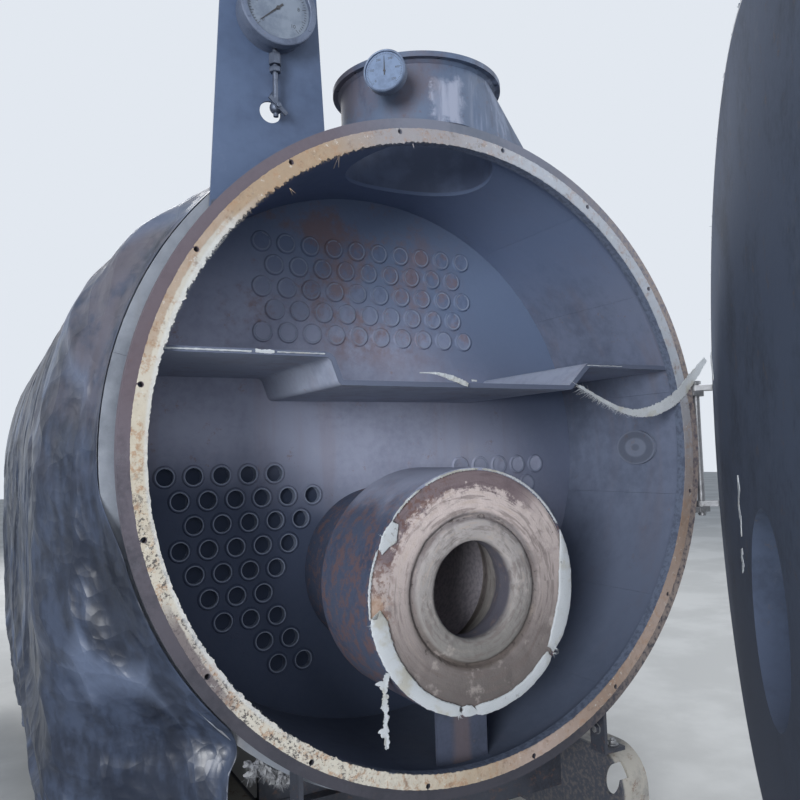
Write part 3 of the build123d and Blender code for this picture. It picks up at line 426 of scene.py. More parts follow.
def band_finish():
    p = Paint("gasket_remains", 0.92)
    turn = p.turn(0, 0)
    straw, cream, white = tint(150, 132, 112), tint(164, 157, 145), tint(172, 170, 164)
    blue, grey = tint(164, 170, 180), tint(138, 136, 140)
    pink, brown = tint(166, 150, 142), tint(142, 124, 112)
    stops = [(0.0, grey), (0.04, blue), (0.20, blue), (0.25, grey), (0.29, grey), (0.33, straw),
             (0.385, straw), (0.40, white), (0.462, white), (0.485, cream), (0.53, cream), (0.56, white),
             (0.58, grey), (0.60, grey), (0.62, white), (0.70, white), (0.745, straw), (0.79, pink),
             (0.84, brown), (0.90, pink), (0.95, brown), (1.0, grey)]
    p.colour = p.node("ShaderNodeValToRGB", {"stops": stops}, {0: turn + (p.noise(9, 4) - 0.5) * 0.04})
    fine = p.noise(90, 8, 0.7)
    left = turn.within(0.40, 0.46, 0.72, 0.78)
    blots = (p.noise(24, 7, 0.75, p.stretched(1, 1, 1, (7, 2, 1))) * 0.6 + fine * 0.4)
    p.coat((204, 196, 178), left * 0.35)
    p.coat((150, 112, 80), blots.between(0.50, 0.60) * (0.35 + left * 0.35))
    p.coat((104, 94, 88), (p.noise(22, 7, 0.7) * 0.6 + fine * 0.4).between(0.53, 0.64) * 0.5)
    low = turn.within(0.495, 0.53, 0.66, 0.72)
    p.coat((56, 52, 56), (p.noise(130, 5, 0.75) * 0.7 + p.noise(26, 4) * 0.3).between(0.52, 0.57) * low * 0.9)
    radius = p.reach(0, AXIS_Z)
    outer = (radius + (p.noise(40, 5, 0.7) - 0.5) * 0.012).between(0.897, 0.902)
    p.coat((92, 84, 88), outer * turn.within(0.555, 0.575, 0.600, 0.620) * 0.85)
    p.coat((140, 112, 88), outer * turn.within(0.37, 0.40, 0.45, 0.47) * 0.6)
    p.coat((196, 198, 196), p.noise(60, 6, 0.75, p.stretched(1, 1, 1, (4, 4, 4))).between(0.6, 0.67) * 0.6)
    inner = radius.below(0.884, 0.892)
    p.coat((186, 190, 192), inner * turn.within(0.36, 0.40, 0.62, 0.66) * 0.6)
    return p.done(p.colour, None, fine * 0.7 + p.noise(25, 5) * 0.6, 0.7, 0.003)


BAND = band_finish()


def tornness(degrees):
    """How far the inner edge of the band is torn, along its turn."""
    return level_at([(0, 0.15), (40, 0.2), (75, 0.3), (100, 0.8), (118, 1.2), (140, 1.4), (160, 0.9),
                     (175, 0.4), (190, 0.3), (215, 0.8), (240, 0.8), (270, 0.4), (310, 0.25), (360, 0.15)],
                    degrees)


part = bmesh.new()
COLUMNS = 9
line = [part.verts.new((BAND_IN + (BAND_OUT - BAND_IN) * i / COLUMNS, 0, 0)) for i in range(COLUMNS + 1)]
spokes = [part.edges.new(pair) for pair in zip(line, line[1:])]
bmesh.ops.spin(part, geom=line + spokes, cent=(0, 0, 0), axis=(0, 0, 1), angle=2 * math.pi, steps=1440,
               use_merge=True)
bmesh.ops.remove_doubles(part, verts=part.verts, dist=1e-6)
holes = [Vector((x, z, 0)) for x, z in circle(16, BOLT_CIRCLE, BOLT_PHASE)]
gone = [f for f in part.faces if min((f.calc_center_median() - h).length for h in holes) < HOLE_R]
bmesh.ops.delete(part, geom=gone, context="FACES")
for v in part.verts:
    near = min(holes, key=lambda h: (v.co - h).length)
    gap = (v.co - near).length
    if gap < HOLE_EDGE:
        v.co = near + (v.co - near) / gap * HOLE_R
        continue
    radius = v.co.length
    degrees = math.degrees(math.atan2(v.co.y, v.co.x)) % 360
    inner = max(0.0, 1 - (radius - BAND_IN) / 0.014)
    outer = max(0.0, 1 - (BAND_OUT - radius) / 0.006)
    spot = v.co.normalized() * 30
    wave = noise.noise(spot) * 0.35 + noise.noise(spot * 3.0) * 0.45 + noise.noise(spot * 7.5) * 0.5
    move = -inner * (0.002 + 0.010 * (wave + 0.30)) * tornness(degrees) + outer * 0.0020 * wave
    v.co *= (radius + move) / radius
    v.co.z = 0.0012 * noise.noise(v.co * 60) + 0.0008 * noise.noise(v.co * 170)
thicken(part, (0, 0, BAND_THICK))
bm = bmesh.new()
join(bm, part, Matrix.Translation(at(0, -0.0004, 0)) @ Matrix.Rotation(math.radians(90), 4, "X"))
pick = random.Random(11)
strands = []
for i in range(1500):
    degrees = pick.gauss(142, 22) if i % 3 else pick.uniform(80, 262)
    t = math.radians(degrees)
    inside = 0.884 - 0.004 * tornness(degrees % 360)
    start = at(math.cos(t) * inside, -0.001, math.sin(t) * inside)
    lean = pick.uniform(-0.9, 0.9)
    way = (-math.cos(t) - lean * math.sin(t), pick.uniform(-0.1, 0.4), -math.sin(t) + lean * math.cos(t))
    strands.append((start, way, 0.010 * tornness(degrees % 360)))
fibres(bm, strands, 12, 0.0005)
LOOSE = ((-0.378, 0.792, 0.045), (-0.148, 0.862, 0.022), (-0.52, 0.68, 0.03))
fibres(bm, [(at(x, 0.002, z), (0.2, 0.3, -1), reach) for x, z, reach in LOOSE for _ in range(2)], 13, 0.0012)
fibres(bm, [(at(-0.290, 0.030, 0.843), (1, 0.1, -0.06), 0.105),
            (at(-0.215, 0.030, 0.868), (0.6, 0.2, -1), 0.02)], 14, 0.0011)
band = piece("gasket_remains", bm, BAND)
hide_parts("ring_gasket")


# Smokebox, tube sheets and shell: boiler plate, black with soot and fly ash, grey-blue where it is dusty;
# paler overall as painted light, with painted light and painted shade changing its tone with height and side.
# Brown rust shows through where rain has run in.
def plate_soot_painted_light_and_shade():
    p = Paint("sooty_plate_painted_light_and_shade", 0.82)
    fine, surface = stained(p, tint(104, 113, 135), tint(84, 93, 113), tint(120, 127, 142),
                            tint(106, 98, 104), 0.58, 1.6, 0.3)
    # Painted shade: darker towards the bottom. Painted light: bluer towards the top.
    low = p.axis("Z").below(AXIS_Z - 0.75, AXIS_Z + 0.10)
    p.coat((72, 82, 102), low * 0.75)
    p.coat((92, 108, 138), p.axis("Z").between(AXIS_Z + 0.45, AXIS_Z + 0.75) * 0.8)
    return p.done(p.colour, 0.7 + fine * 0.25, surface, 0.45, 0.002)


SOOT = plate_soot_painted_light_and_shade()
repaint(SOOT, "smokebox_shell", "boiler_shell")


def baffle_soot():
    p = Paint("sooty_baffle", 0.85)
    fine, surface = stained(p, tint(152, 160, 180), tint(132, 140, 160), tint(160, 164, 176),
                            tint(132, 122, 128), 0.58, 2.4, 0.3)
    front = p.axis("Y").below(FACE_Y + 0.032, FACE_Y + 0.036)
    p.coat((84, 92, 112), front)
    return p.done(p.colour, 0.7 + fine * 0.25, surface, 0.4, 0.002)


repaint(baffle_soot(), "smokebox_baffle")


def sheet_soot_painted_light_and_shade():
    p = Paint("sooty_tube_sheet_painted_light_and_shade", 0.8)
    fine, surface = stained(p, tint(150, 156, 178), tint(132, 138, 160), tint(164, 166, 182),
                            tint(140, 128, 134), 0.58, 2.4, 0.25)
    # Painted light and painted shade: the sheet stays pale in the middle and at the left, where haze and
    # light lift it; painted shade darkens it towards the upper right and the top, and most towards the lower
    # left.
    wander = p.noise(1.6, 4) * 0.3 - 0.15
    slope = p.axis("Z") + p.axis("X") * 0.26 + wander
    low = slope.below(AXIS_Z - 0.32, AXIS_Z - 0.04)
    top = slope.between(AXIS_Z + 0.22, AXIS_Z + 0.70)
    across = (p.axis("X") + (p.axis("Z") - AXIS_Z) * 0.8 + wander).between(0.25, 0.85)
    p.coat((88, 97, 120), across * 0.95)
    p.coat((48, 60, 84), low * 0.95)
    p.coat((96, 112, 140), top * 0.9)
    brown = (p.noise(4, 8, 0.72, p.stretched(1, 1, 1, (2, 9, 4))) * 0.8 + fine * 0.2).between(0.48, 0.62)
    brown = brown * p.axis("Z").between(AXIS_Z + 0.22, AXIS_Z + 0.42) * p.axis("X").below(0.0, 0.5)
    p.coat((122, 98, 96), brown * 0.7)
    return p.done(p.colour, 0.68 + fine * 0.25, surface, 0.5, 0.002)


SHEET_SOOT = sheet_soot_painted_light_and_shade()
repaint(SHEET_SOOT, "front_tube_sheet")


def weathered(name, base, dark, pale, rust, rusty=0.55, scale=3.0, rough=0.62, metal=0.0, grain=1.0,
              streaks=0.0):
    p = Paint(name, rough, metal)
    fine, surface = stained(p, base, dark, pale, rust, rusty, scale, streaks)
    return p.done(p.colour, rough - 0.12 + fine * 0.25, surface, 0.35 * grain, 0.002)


FLY_ASH = weathered("fly_ash", tint(186, 180, 188), tint(160, 156, 166), tint(200, 194, 196),
                    tint(150, 136, 134), rusty=0.6, scale=4, rough=0.9)
repaint(FLY_ASH, "rear_tube_sheet")


THROAT_X, THROAT_Z = 0.012, -0.399


def furnace_finish():
    p = Paint("furnace_plate", 0.85)
    fine, surface = stained(p, tint(60, 70, 92), tint(48, 56, 76), tint(78, 84, 100), tint(98, 78, 80),
                            0.50, 5)
    ash = p.mix(tint(186, 180, 188), tint(160, 156, 166), fine.between(0.42, 0.60))
    inside = p.reach(THROAT_X, AXIS_Z + THROAT_Z).below(0.2625, 0.2640)
    return p.done(p.mix(p.colour, ash, inside), 0.7 + fine * 0.2, surface, 0.4, 0.002)


repaint(furnace_finish(), "furnace_tube")


# Inside the smokebox: beads where the shell meets the ring and where it meets the tube sheet.
# A strip of old gasket is still stuck along the front edge of the baffle.


def turned(bm, corners, place, steps=64, rough=0.0, seed=0):
    """Ring or disc turned about Z from (radius, height) corners, a little uneven where rough is given."""
    part = bmesh.new()
    verts = [part.verts.new((r, 0, h)) for r, h in corners]
    edges = [part.edges.new(pair) for pair in zip(verts, verts[1:] + verts[:1])]
    bmesh.ops.spin(part, geom=verts + edges, cent=(0, 0, 0), axis=(0, 0, 1), angle=2 * math.pi,
                   steps=steps, use_merge=True)
    if rough:
        shake(part, rough, 60, seed)
    join(bm, part, place)


BAFFLE_FRONT = 0.0305
bm = bmesh.new()
turned(bm, [(0.899, 0.0), (0.895, 0.0), (0.899, -0.005)], facing(at(0, BAFFLE_FRONT, 0), (0, -1, 0)), 480,
       0.0008, 1)
turned(bm, [(0.899, 0.0), (0.889, 0.0), (0.899, -0.010)], facing(at(0, 0.599, 0), (0, -1, 0)), 480, 0.003, 2)
piece("smokebox_welds", bm, SHEET_SOOT)

EDGE_REMAINS = [(-0.860, -0.620, 0.256, 0.004), (-0.610, -0.560, 0.257, 0.009),
                (-0.552, -0.420, 0.257, 0.003), (0.490, 0.640, 0.2545, 0.0025),
                (0.042, 0.060, 0.196, 0.005)]
bm = bmesh.new()
for x0, x1, z, high in EDGE_REMAINS:
    part = bmesh.new()
    bmesh.ops.create_grid(part, x_segments=int((x1 - x0) / 0.004), y_segments=5, size=0.5)
    for v in part.verts:
        x = x0 + (x1 - x0) * (v.co.x + 0.5)
        wave = (noise.noise(Vector((x * 60, v.co.y * 2, 3)))
                + 0.5 * noise.noise(Vector((x * 190, v.co.y * 3, 1))))
        v.co = at(x, BAFFLE_FRONT - 0.002 * (1 - abs(v.co.y) * 2) + 0.001 * wave,
                  z + v.co.y * high * (1 + 0.7 * wave))
    thicken(part, (0, -0.0015, 0))
    join(bm, part)
crescent = [(-0.135, 0.2135), (-0.118, 0.2140), (-0.100, 0.2140), (-0.082, 0.2135), (-0.064, 0.2105),
            (-0.046, 0.2060), (-0.029, 0.2010), (-0.012, 0.1955), (0.006, 0.1895), (0.025, 0.1825)]
join(bm, flat_tape(route_line("crescent", [at(x, 0.024, z) for x, z in crescent]),
                   lambda t: 0.003 + 0.011 * math.sin(t * math.pi * 0.62) ** 2, TAPE_THICK, seed=21,
                   ragged=0.25))
piece("baffle_gasket_remains", bm, TAPE)

# Fire tubes: drawn steel, expanded into the tube sheets and seal welded.
# Each end stands out a little with a bead round it.
# Painted light: the tube walls are painted pale blue-grey, far paler than soot, so the tube mouths show
# little shade.
TUBE_STEEL = weathered("sooty_tube", tint(128, 138, 158), tint(104, 113, 132), tint(140, 146, 156),
                       tint(116, 108, 112), rusty=0.6, scale=6, rough=0.78)
repaint(TUBE_STEEL, "tubes_left", "tubes_right", "tubes_top")
FRONT_SHEET, REAR_SHEET = 0.600, 2.886
MOUTH_R = 0.0299
PITCH = 0.088
RISE = PITCH * math.sqrt(3) / 2
SECOND_PASS = [(8, 10), (7, 9), (4, 6, 8), (3, 5, 7), (2, 4, 6, 8), (1, 3, 5, 7, 9), (2, 4, 6, 8, 10),
               (1, 3, 5, 7, 9, 11), (0, 2, 4, 6, 8)]
tube_ends = []
for row, columns in enumerate(SECOND_PASS):
    for column in columns:
        x, z = -0.7166 + column * PITCH / 2, -0.673 + row * RISE
        tube_ends += [(x, z), (-x, z)]
for row, count in enumerate((10, 9, 10, 9, 10)):
    tube_ends += [((i - (count - 1) / 2) * PITCH, 0.406 + row * RISE) for i in range(count)]
bm = bmesh.new()
for y, way in ((FRONT_SHEET, -1), (REAR_SHEET, 1)):
    for x, z in tube_ends:
        corners = [(0.030, 0.0), (0.030, 0.0066), (0.0325, 0.0070), (0.0352, 0.0042), (0.0366, 0.0)]
        turned(bm, corners, facing(at(x, y, z), (0, way, 0)), 24)
piece("tube_end_welds", bm, SHEET_SOOT)
# Fills in the tube mouths, 20 mm deep in the lower left tubes and 4.5 mm proud in the rest: painted light
# that hides the dark bores, toned as the tube sheet.
bm = bmesh.new()
for i, (x, z) in enumerate(tube_ends):
    part = bmesh.new()
    bmesh.ops.create_grid(part, x_segments=12, y_segments=12, size=1.0)
    deep = 0.020 if z < 0.3 and x < 0 else -0.0045
    for v in part.verts:
        flat = v.co.copy()
        v.co.x = flat.x * math.sqrt(1 - flat.y ** 2 / 2) * MOUTH_R
        v.co.y = flat.y * math.sqrt(1 - flat.x ** 2 / 2) * MOUTH_R
        lumps = 0.002 * noise.noise(Vector((v.co.x * 50 + i, v.co.y * 50, 0)))
        v.co.z = -deep + lumps - 0.4 * v.co.y * deep / 0.03
    join(bm, part, facing(at(x, FRONT_SHEET, z), (0, -1, 0)))


def tube_mouth_fill_painted_light_and_shade():
    p = Paint("tube_mouth_fill_painted_light_and_shade", 0.9)
    # Painted shade as on the tube sheet: darker and bluer towards the top, darkest towards the lower left.
    slope = p.axis("Z") + p.axis("X") * 0.26
    low = slope.below(AXIS_Z - 0.22, AXIS_Z + 0.10)
    high = slope.between(AXIS_Z + 0.22, AXIS_Z + 0.70)
    p.colour = p.mix(tint(146, 152, 174), tint(94, 108, 136), high)
    p.coat((122, 98, 96), p.noise(4, 8, 0.72, p.stretched(1, 1, 1, (2, 9, 4))).between(0.5, 0.62) * 0.6)
    return p.done(p.mix(p.colour, tint(36, 46, 66), low), None, p.noise(90, 5), 0.5, 0.002)


piece("tube_mouth_fills_painted_light", bm, tube_mouth_fill_painted_light_and_shade())


# Burner throat: cast refractory in a rolled drum, with a proud collar and a groove round it.
# Dry, dusty and chipped, pinkish grey outside and greyer round the hole.
def cast_finish():
    p = Paint("cast_refractory", 0.93)
    x = p.axis("X") - THROAT_X
    z = p.axis("Z") - (AXIS_Z + THROAT_Z)
    radius = (x * x + z * z) ** 0.5 + (p.noise(12, 4) - 0.5) * 0.012
    turn = p.turn(THROAT_X, THROAT_Z)
    # Each tone goes darker towards the bottom of the throat and paler towards its top.
    high = z.between(-0.34, 0.30)
    body = p.mix(tint(92, 87, 86), tint(196, 184, 182), high)
    collar = p.mix(tint(104, 103, 100), tint(168, 163, 163), high)
    groove = p.mix(tint(76, 68, 62), tint(138, 132, 134), high)
    p.colour = p.mix(collar, groove, radius.between(0.190, 0.203))
    p.colour = p.mix(p.colour, body, radius.between(0.213, 0.226))
    p.colour = p.mix(tint(150, 146, 156), p.colour, radius.between(0.120, 0.140))
    fine = p.noise(70, 9, 0.72)
    round_way = p.node("ShaderNodeCombineXYZ", None, {0: radius * 60.0, 1: turn * 9.0, 2: p.axis("Y") * 20.0})
    ringed = p.noise(1.6, 6, 0.65, round_way)
    p.coat((104, 94, 92), ringed.between(0.50, 0.62) * 0.55)
    p.coat((176, 160, 148), (1.0 - ringed).between(0.54, 0.66) * high * 0.5)
    p.coat((92, 84, 84), p.noise(11, 7, 0.7).between(0.54, 0.66) * 0.4)
    p.coat((176, 168, 164), p.noise(16, 8, 0.7, p.stretched(1, 1, 1, (2, 8, 1))).between(0.56, 0.68) * 0.45)
    p.coat((58, 52, 52), p.noise(60, 5, 0.7).between(0.56, 0.62) * radius.between(0.196, 0.204)
           * radius.below(0.214, 0.222) * 0.7)
    edge = (radius + (p.noise(30, 8, 0.75, p.stretched(1, 1, 1, (1, 6, 4))) - 0.5) * 0.13
            + (ringed - 0.5) * 0.05)
    above = turn.within(0.10, 0.17, 0.44, 0.47)
    p.coat((92, 78, 86), edge.between(0.276, 0.294) * above * 0.85)
    flakes = p.noise(45, 7, 0.75, p.stretched(1, 1, 1, (3, 5, 7))).between(0.50, 0.56)
    flakes = flakes * turn.within(0.26, 0.32, 0.53, 0.57) * radius.between(0.245, 0.300)
    p.coat((104, 78, 72), flakes * 0.75)
    left = edge.between(0.282, 0.298) * turn.within(0.485, 0.50, 0.525, 0.54)
    p.coat((166, 138, 116), left * 0.6)
    p.coat((64, 58, 58), p.noise(38, 6, 0.75).between(0.66, 0.70) * 0.8)
    bore = radius.below(0.150, 0.160) * p.axis("Y").between(FACE_Y + 0.012, FACE_Y + 0.036)
    sooty = p.mix(tint(66, 66, 80), tint(104, 88, 84),
                  p.noise(3.0, 5, 0.6, round_way).between(0.54, 0.66) * 0.5)
    p.colour = p.mix(p.colour, sooty, bore * 0.9)
    return p.done(p.colour, None, fine * 0.6 + p.noise(200, 4) * 0.4, 0.8, 0.003)


corners = [(0.3347, 0.0), (0.3340, -0.0006), (0.300, -0.0015), (0.262, -0.001), (0.218, -0.001),
           (0.2125, 0.004), (0.210, 0.010), (0.206, 0.012), (0.201, 0.009), (0.1985, 0.0), (0.195, -0.0035),
           (0.184, -0.005), (0.170, -0.0058), (0.160, -0.0052), (0.146, -0.0030), (0.138, 0.002),
           (0.1360, 0.010), (0.136, 0.040), (0.136, 0.080), (0.160, 0.136), (0.190, 0.206), (0.2245, 0.289),
           (0.3347, 0.289), (0.3347, 0.15)]
part = bmesh.new()
verts = [part.verts.new((r, 0, -y)) for r, y in corners]
edges = [part.edges.new(pair) for pair in zip(verts, verts[1:] + verts[:1])]
bmesh.ops.subdivide_edges(part, edges=[e for e in edges if 0.012 < e.calc_length() < 0.06], cuts=2)
bmesh.ops.spin(part, geom=part.verts[:] + part.edges[:], cent=(0, 0, 0), axis=(0, 0, 1), angle=2 * math.pi,
               steps=300, use_merge=True)
bmesh.ops.remove_doubles(part, verts=part.verts, dist=1e-6)
for v in part.verts:
    if v.co.xy.length < 0.333 and v.co.z > -0.2:
        chips = max(0.0, noise.noise(v.co * 22) - 0.28) * 0.008
        v.co.z -= chips + 0.0009 * noise.noise(v.co * 90) + 0.0012 * noise.noise(v.co * 30)
bm = bmesh.new()
join(bm, part, facing(at(THROAT_X, 0, THROAT_Z), (0, -1, 0)))
cast = piece("cast_throat", bm, cast_finish(), 50)
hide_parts("throat_refractory")


def drum_finish():
    p = Paint("drum_steel", 0.75)
    fine, surface = stained(p, tint(66, 76, 98), tint(52, 60, 82), tint(82, 88, 106), tint(98, 78, 80),
                            0.48, 5)
    above = p.axis("Z") + (p.noise(9, 6, 0.65) - 0.5) * 0.16
    p.coat((150, 156, 178), above.between(AXIS_Z + THROAT_Z + 0.20, AXIS_Z + THROAT_Z + 0.33) * 0.9)
    return p.done(p.colour, 0.62 + fine * 0.25, surface, 0.4, 0.002)


DRUM = drum_finish()
repaint(DRUM, "throat_drum", "rear_chamber_shell")


def support_finish():
    p = Paint("sooty_support", 0.8)
    fine, surface = stained(p, tint(62, 69, 88), tint(50, 57, 72), tint(80, 86, 102), tint(80, 74, 80),
                            0.57, 5)
    run = p.axis("X") + (p.noise(9, 5, 0.6, p.stretched(1, 1, 0.2)) - 0.5) * 0.05
    run = run.within(-0.028, -0.006, 0.022, 0.040)
    p.coat((90, 80, 84), run * 0.7)
    return p.done(p.colour, 0.7 + fine * 0.2, surface, 0.4, 0.002)


repaint(support_finish(), "throat_support")

# Rope seal round the throat: white glass-fibre rope in a soft square section, glued to the rim of the drum.
# It is whole from the left side round the bottom to the right, and torn off at the upper left.


def rope_arc(bm, start, end, wide, high, seed, taper=8.0):
    """Stretch of flattened rope between two turns; it narrows to ragged ends."""
    steps = max(6, int(abs(end - start) / 0.8))
    part = bmesh.new()
    ring = []
    for i in range(12):
        t = 2 * math.pi * i / 12
        ring.append(part.verts.new((math.cos(t), 0, math.sin(t))))
    edges = [part.edges.new(pair) for pair in zip(ring, ring[1:] + ring[:1])]
    part.faces.new(ring)
    for i in range(steps):
        made = bmesh.ops.extrude_edge_only(part, edges=edges)
        edges = [g for g in made["geom"] if isinstance(g, bmesh.types.BMEdge)]
        for g in made["geom"]:
            if isinstance(g, bmesh.types.BMVert):
                g.co.y += 1.0
    bmesh.ops.holes_fill(part, edges=[e for e in part.edges if e.is_boundary], sides=0)
    for v in part.verts:
        way = v.co.y / steps
        degrees = start + (end - start) * way
        edge = min(1.0, min(way, 1 - way) * abs(end - start) / taper)
        t = math.radians(degrees)
        spot = Vector((math.cos(t), math.sin(t), seed)) * 9
        wave = noise.noise(spot) * 0.5 + noise.noise(spot * 4.3) * 0.35 + noise.noise(spot * 11) * 0.25
        half = wide(degrees) / 2 * (0.7 + 0.3 * edge) * (1 + 0.16 * wave)
        flat_x = math.copysign(abs(v.co.x) ** 0.35, v.co.x)
        flat_z = math.copysign(abs(v.co.z) ** 0.6, v.co.z)
        if edge < 1:
            torn_end = noise.noise(Vector((flat_x * 3.1, seed * 5.7, way * 2)))
            t += math.radians(3.2 * torn_end) * (1 - edge)
        centre = 0.3415 - wide(degrees) / 2
        ragged = 0.0020 * noise.noise(spot * 13 + Vector((flat_x * 2, 0, 0)))
        radius = centre + flat_x * half + ragged + 0.0008 * noise.noise(spot * 40 + Vector((0, 0, v.co.z)))
        depth = -0.0056 + flat_z * high / 2 * (1 + 0.2 * noise.noise(spot * 7)) * (0.6 + 0.4 * edge)
        v.co = at(THROAT_X + math.cos(t) * radius, -0.0002 + depth, THROAT_Z + math.sin(t) * radius)
    join(bm, part)


def rope_width(degrees):
    return level_at([(-45, 0.036), (-30, 0.046), (-18, 0.050), (2, 0.046), (10, 0.038), (19, 0.020),
                     (25, 0.008), (140, 0.030), (149, 0.046), (156, 0.024), (186, 0.044), (190, 0.052),
                     (205, 0.048), (220, 0.044), (235, 0.037), (257, 0.031), (270, 0.031), (300, 0.031),
                     (320, 0.034)], degrees)


bm = bmesh.new()
for start, end, high, seed, taper in ((186, 257, 0.009, 1, 3), (258.5, 265.5, 0.006, 2, 2),
                                      (267, 319, 0.009, 3, 3), (-38, 25, 0.009, 4, 9),
                                      (141, 156, 0.005, 5, 5)):
    rope_arc(bm, start, end, rope_width, high, seed, taper)
for start, end in ((30, 84), (88, 118), (122, 140), (157, 186)):
    rope_arc(bm, start, end, lambda degrees: 0.0045 + 0.003 * math.sin(degrees * 1.7) ** 2, 0.0035,
             start * 0.1, 6)
strands = []
for start, way in ((190, (-1, -0.2, -0.3)), (257, (0.3, -0.3, -1)), (321, (1, -0.3, -0.6)),
                   (150, (-0.8, -0.3, 0.5)), (-36, (0.6, -0.3, -0.8))):
    t = math.radians(start)
    strands += [(at(THROAT_X + math.cos(t) * 0.335, -0.006, THROAT_Z + math.sin(t) * 0.335), way, 0.018)] * 10
fibres(bm, strands, 6, 0.0007)
rope = piece("throat_rope_seal", bm, TAPE, 60)
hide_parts("throat_rope")

# Hand hole in the right wall: pressed cover drawn up from inside by a stud, a yoke and a nut outside.
# A flat gasket shows as a thin line round it.
HINGE_STEEL = weathered("bright_hinge_steel", tint(128, 130, 134), tint(84, 84, 88), tint(172, 174, 178),
                        tint(110, 84, 66), rusty=0.58, scale=12, rough=0.45, metal=0.5)
repaint(HINGE_STEEL, "handhole_yoke", "hinge_lugs", "hinge_pin", "hinge_arms", "door_handle")


def lid_finish():
    p = Paint("sooty_hand_hole_lid", 0.82)
    low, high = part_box("handhole_plate")
    across = (p.axis("Y") - (low[1] + high[1]) / 2) * (2 / (high[1] - low[1]))
    up_way = (p.axis("Z") - (low[2] + high[2]) / 2) * (2 / (high[2] - low[2]))
    oval = (across * across + up_way * up_way) ** 0.5
    fine, surface = stained(p, tint(106, 114, 132), tint(84, 92, 110), tint(124, 130, 142),
                            tint(112, 103, 106))
    groove = oval.within(0.50, 0.62, 0.88, 0.98)
    p.coat((62, 68, 84), groove * 0.55)
    p.coat((66, 72, 88), oval.below(0.14, 0.26) * 0.5)
    return p.done(p.colour, 0.7 + fine * 0.2, surface, 0.4, 0.002)


repaint(lid_finish(), "handhole_plate")

# Jacket: mineral wool under thin galvanised sheet in panels, with drawn bands over the joints.
# Dull zinc with pale bloom, screws along the joints, a screw clasp on each band.
ZINC = weathered("dull_zinc_sheet", tint(132, 138, 148), tint(102, 108, 118), tint(158, 164, 172),
                 tint(120, 108, 96), rusty=0.62, scale=1.4, rough=0.5, metal=0.35, grain=0.5, streaks=0.3)
repaint(ZINC, "jacket", "jacket_bands")


def bar(bm, low, high, place=Matrix(), bevel=0.002):
    """Block between two corners, its edges broken."""
    low, high = Vector(low), Vector(high)
    part = bmesh.new()
    size = high - low
    bmesh.ops.create_cube(part, size=1.0, matrix=Matrix.Translation((low + high) / 2)
                          @ Matrix.Diagonal((*size, 1)))
    bmesh.ops.bevel(part, geom=part.edges[:], affect="EDGES", offset=min(bevel, min(size) * 0.3), segments=2,
                    profile=0.5, material=-1)
    join(bm, part, place)


def rod(bm, radius, length, place, sides=24):
    """Round bar from the place along its Z."""
    part = bmesh.new()
    bmesh.ops.create_cone(part, cap_ends=True, segments=sides, radius1=radius, radius2=radius,
                          depth=length, matrix=Matrix.Translation((0, 0, length / 2)))
    join(bm, part, place)


def bolt(bm, place, across=0.019, head=0.010, washer=0.0025, shank=0.0):
    """Hexagon head on a washer, its corners rounded off, Z pointing outwards."""
    if washer:
        turned(bm, [(0.0001, 0), (across * 0.85, 0), (across * 0.85, washer), (0.0001, washer)], place, 24)
    part = bmesh.new()
    bmesh.ops.create_cone(part, cap_ends=True, segments=6, radius1=across * 0.577, radius2=across * 0.577,
                          depth=head, matrix=Matrix.Translation((0, 0, washer + head / 2)))
    bmesh.ops.bevel(part, geom=part.edges[:], affect="EDGES", offset=head * 0.09, segments=2, profile=0.5,
                    material=-1)
    join(bm, part, place)
    if shank:
        rod(bm, across * 0.3, washer + head + shank, place, 12)


JACKET_R = 0.9745
BANDS = [0.640 + (3.106 - 0.640) * i / 3 for i in range(4)]
bm = bmesh.new()
for y in BANDS:
    for i in range(12):
        t = math.radians(i * 30 + 15)
        out = Vector((math.cos(t), 0, math.sin(t)))
        for dy in (0.014, 0.046):
            place = facing(at(out.x * JACKET_R, y + dy, out.z * JACKET_R), out)
            turned(bm, [(0.0001, 0), (0.0055, 0), (0.0050, 0.0020), (0.0025, 0.0032), (0.0001, 0.0034)],
                   place, 12)
    for side in (-1, 1):
        t = math.radians(20 if side > 0 else 160)
        out = Vector((math.cos(t), 0, math.sin(t)))
        place = facing(at(out.x * JACKET_R, y + 0.030, out.z * JACKET_R), out)
        bar(bm, (-0.030, -0.022, 0), (-0.012, 0.022, 0.018), place)
        bar(bm, (0.012, -0.022, 0), (0.030, 0.022, 0.018), place)
        bolt(bm, place @ Matrix.Translation((0.030, 0, 0.010)) @ Matrix.Rotation(math.radians(90), 4, "Y"),
             0.013, 0.007)
        rod(bm, 0.004, 0.070, place @ Matrix.Translation((-0.036, 0, 0.010))
            @ Matrix.Rotation(math.radians(90), 4, "Y"), 12)
piece("band_clasps_and_screws", bm, HINGE_STEEL)

# Flue stub: rolled neck, flared at the foot to one side, with a drilled flange.
# Bare steel, purple-brown with runs of rust, a pale scraped patch at the front.
FLUE_X, FLUE_Y = 0.010, 0.240


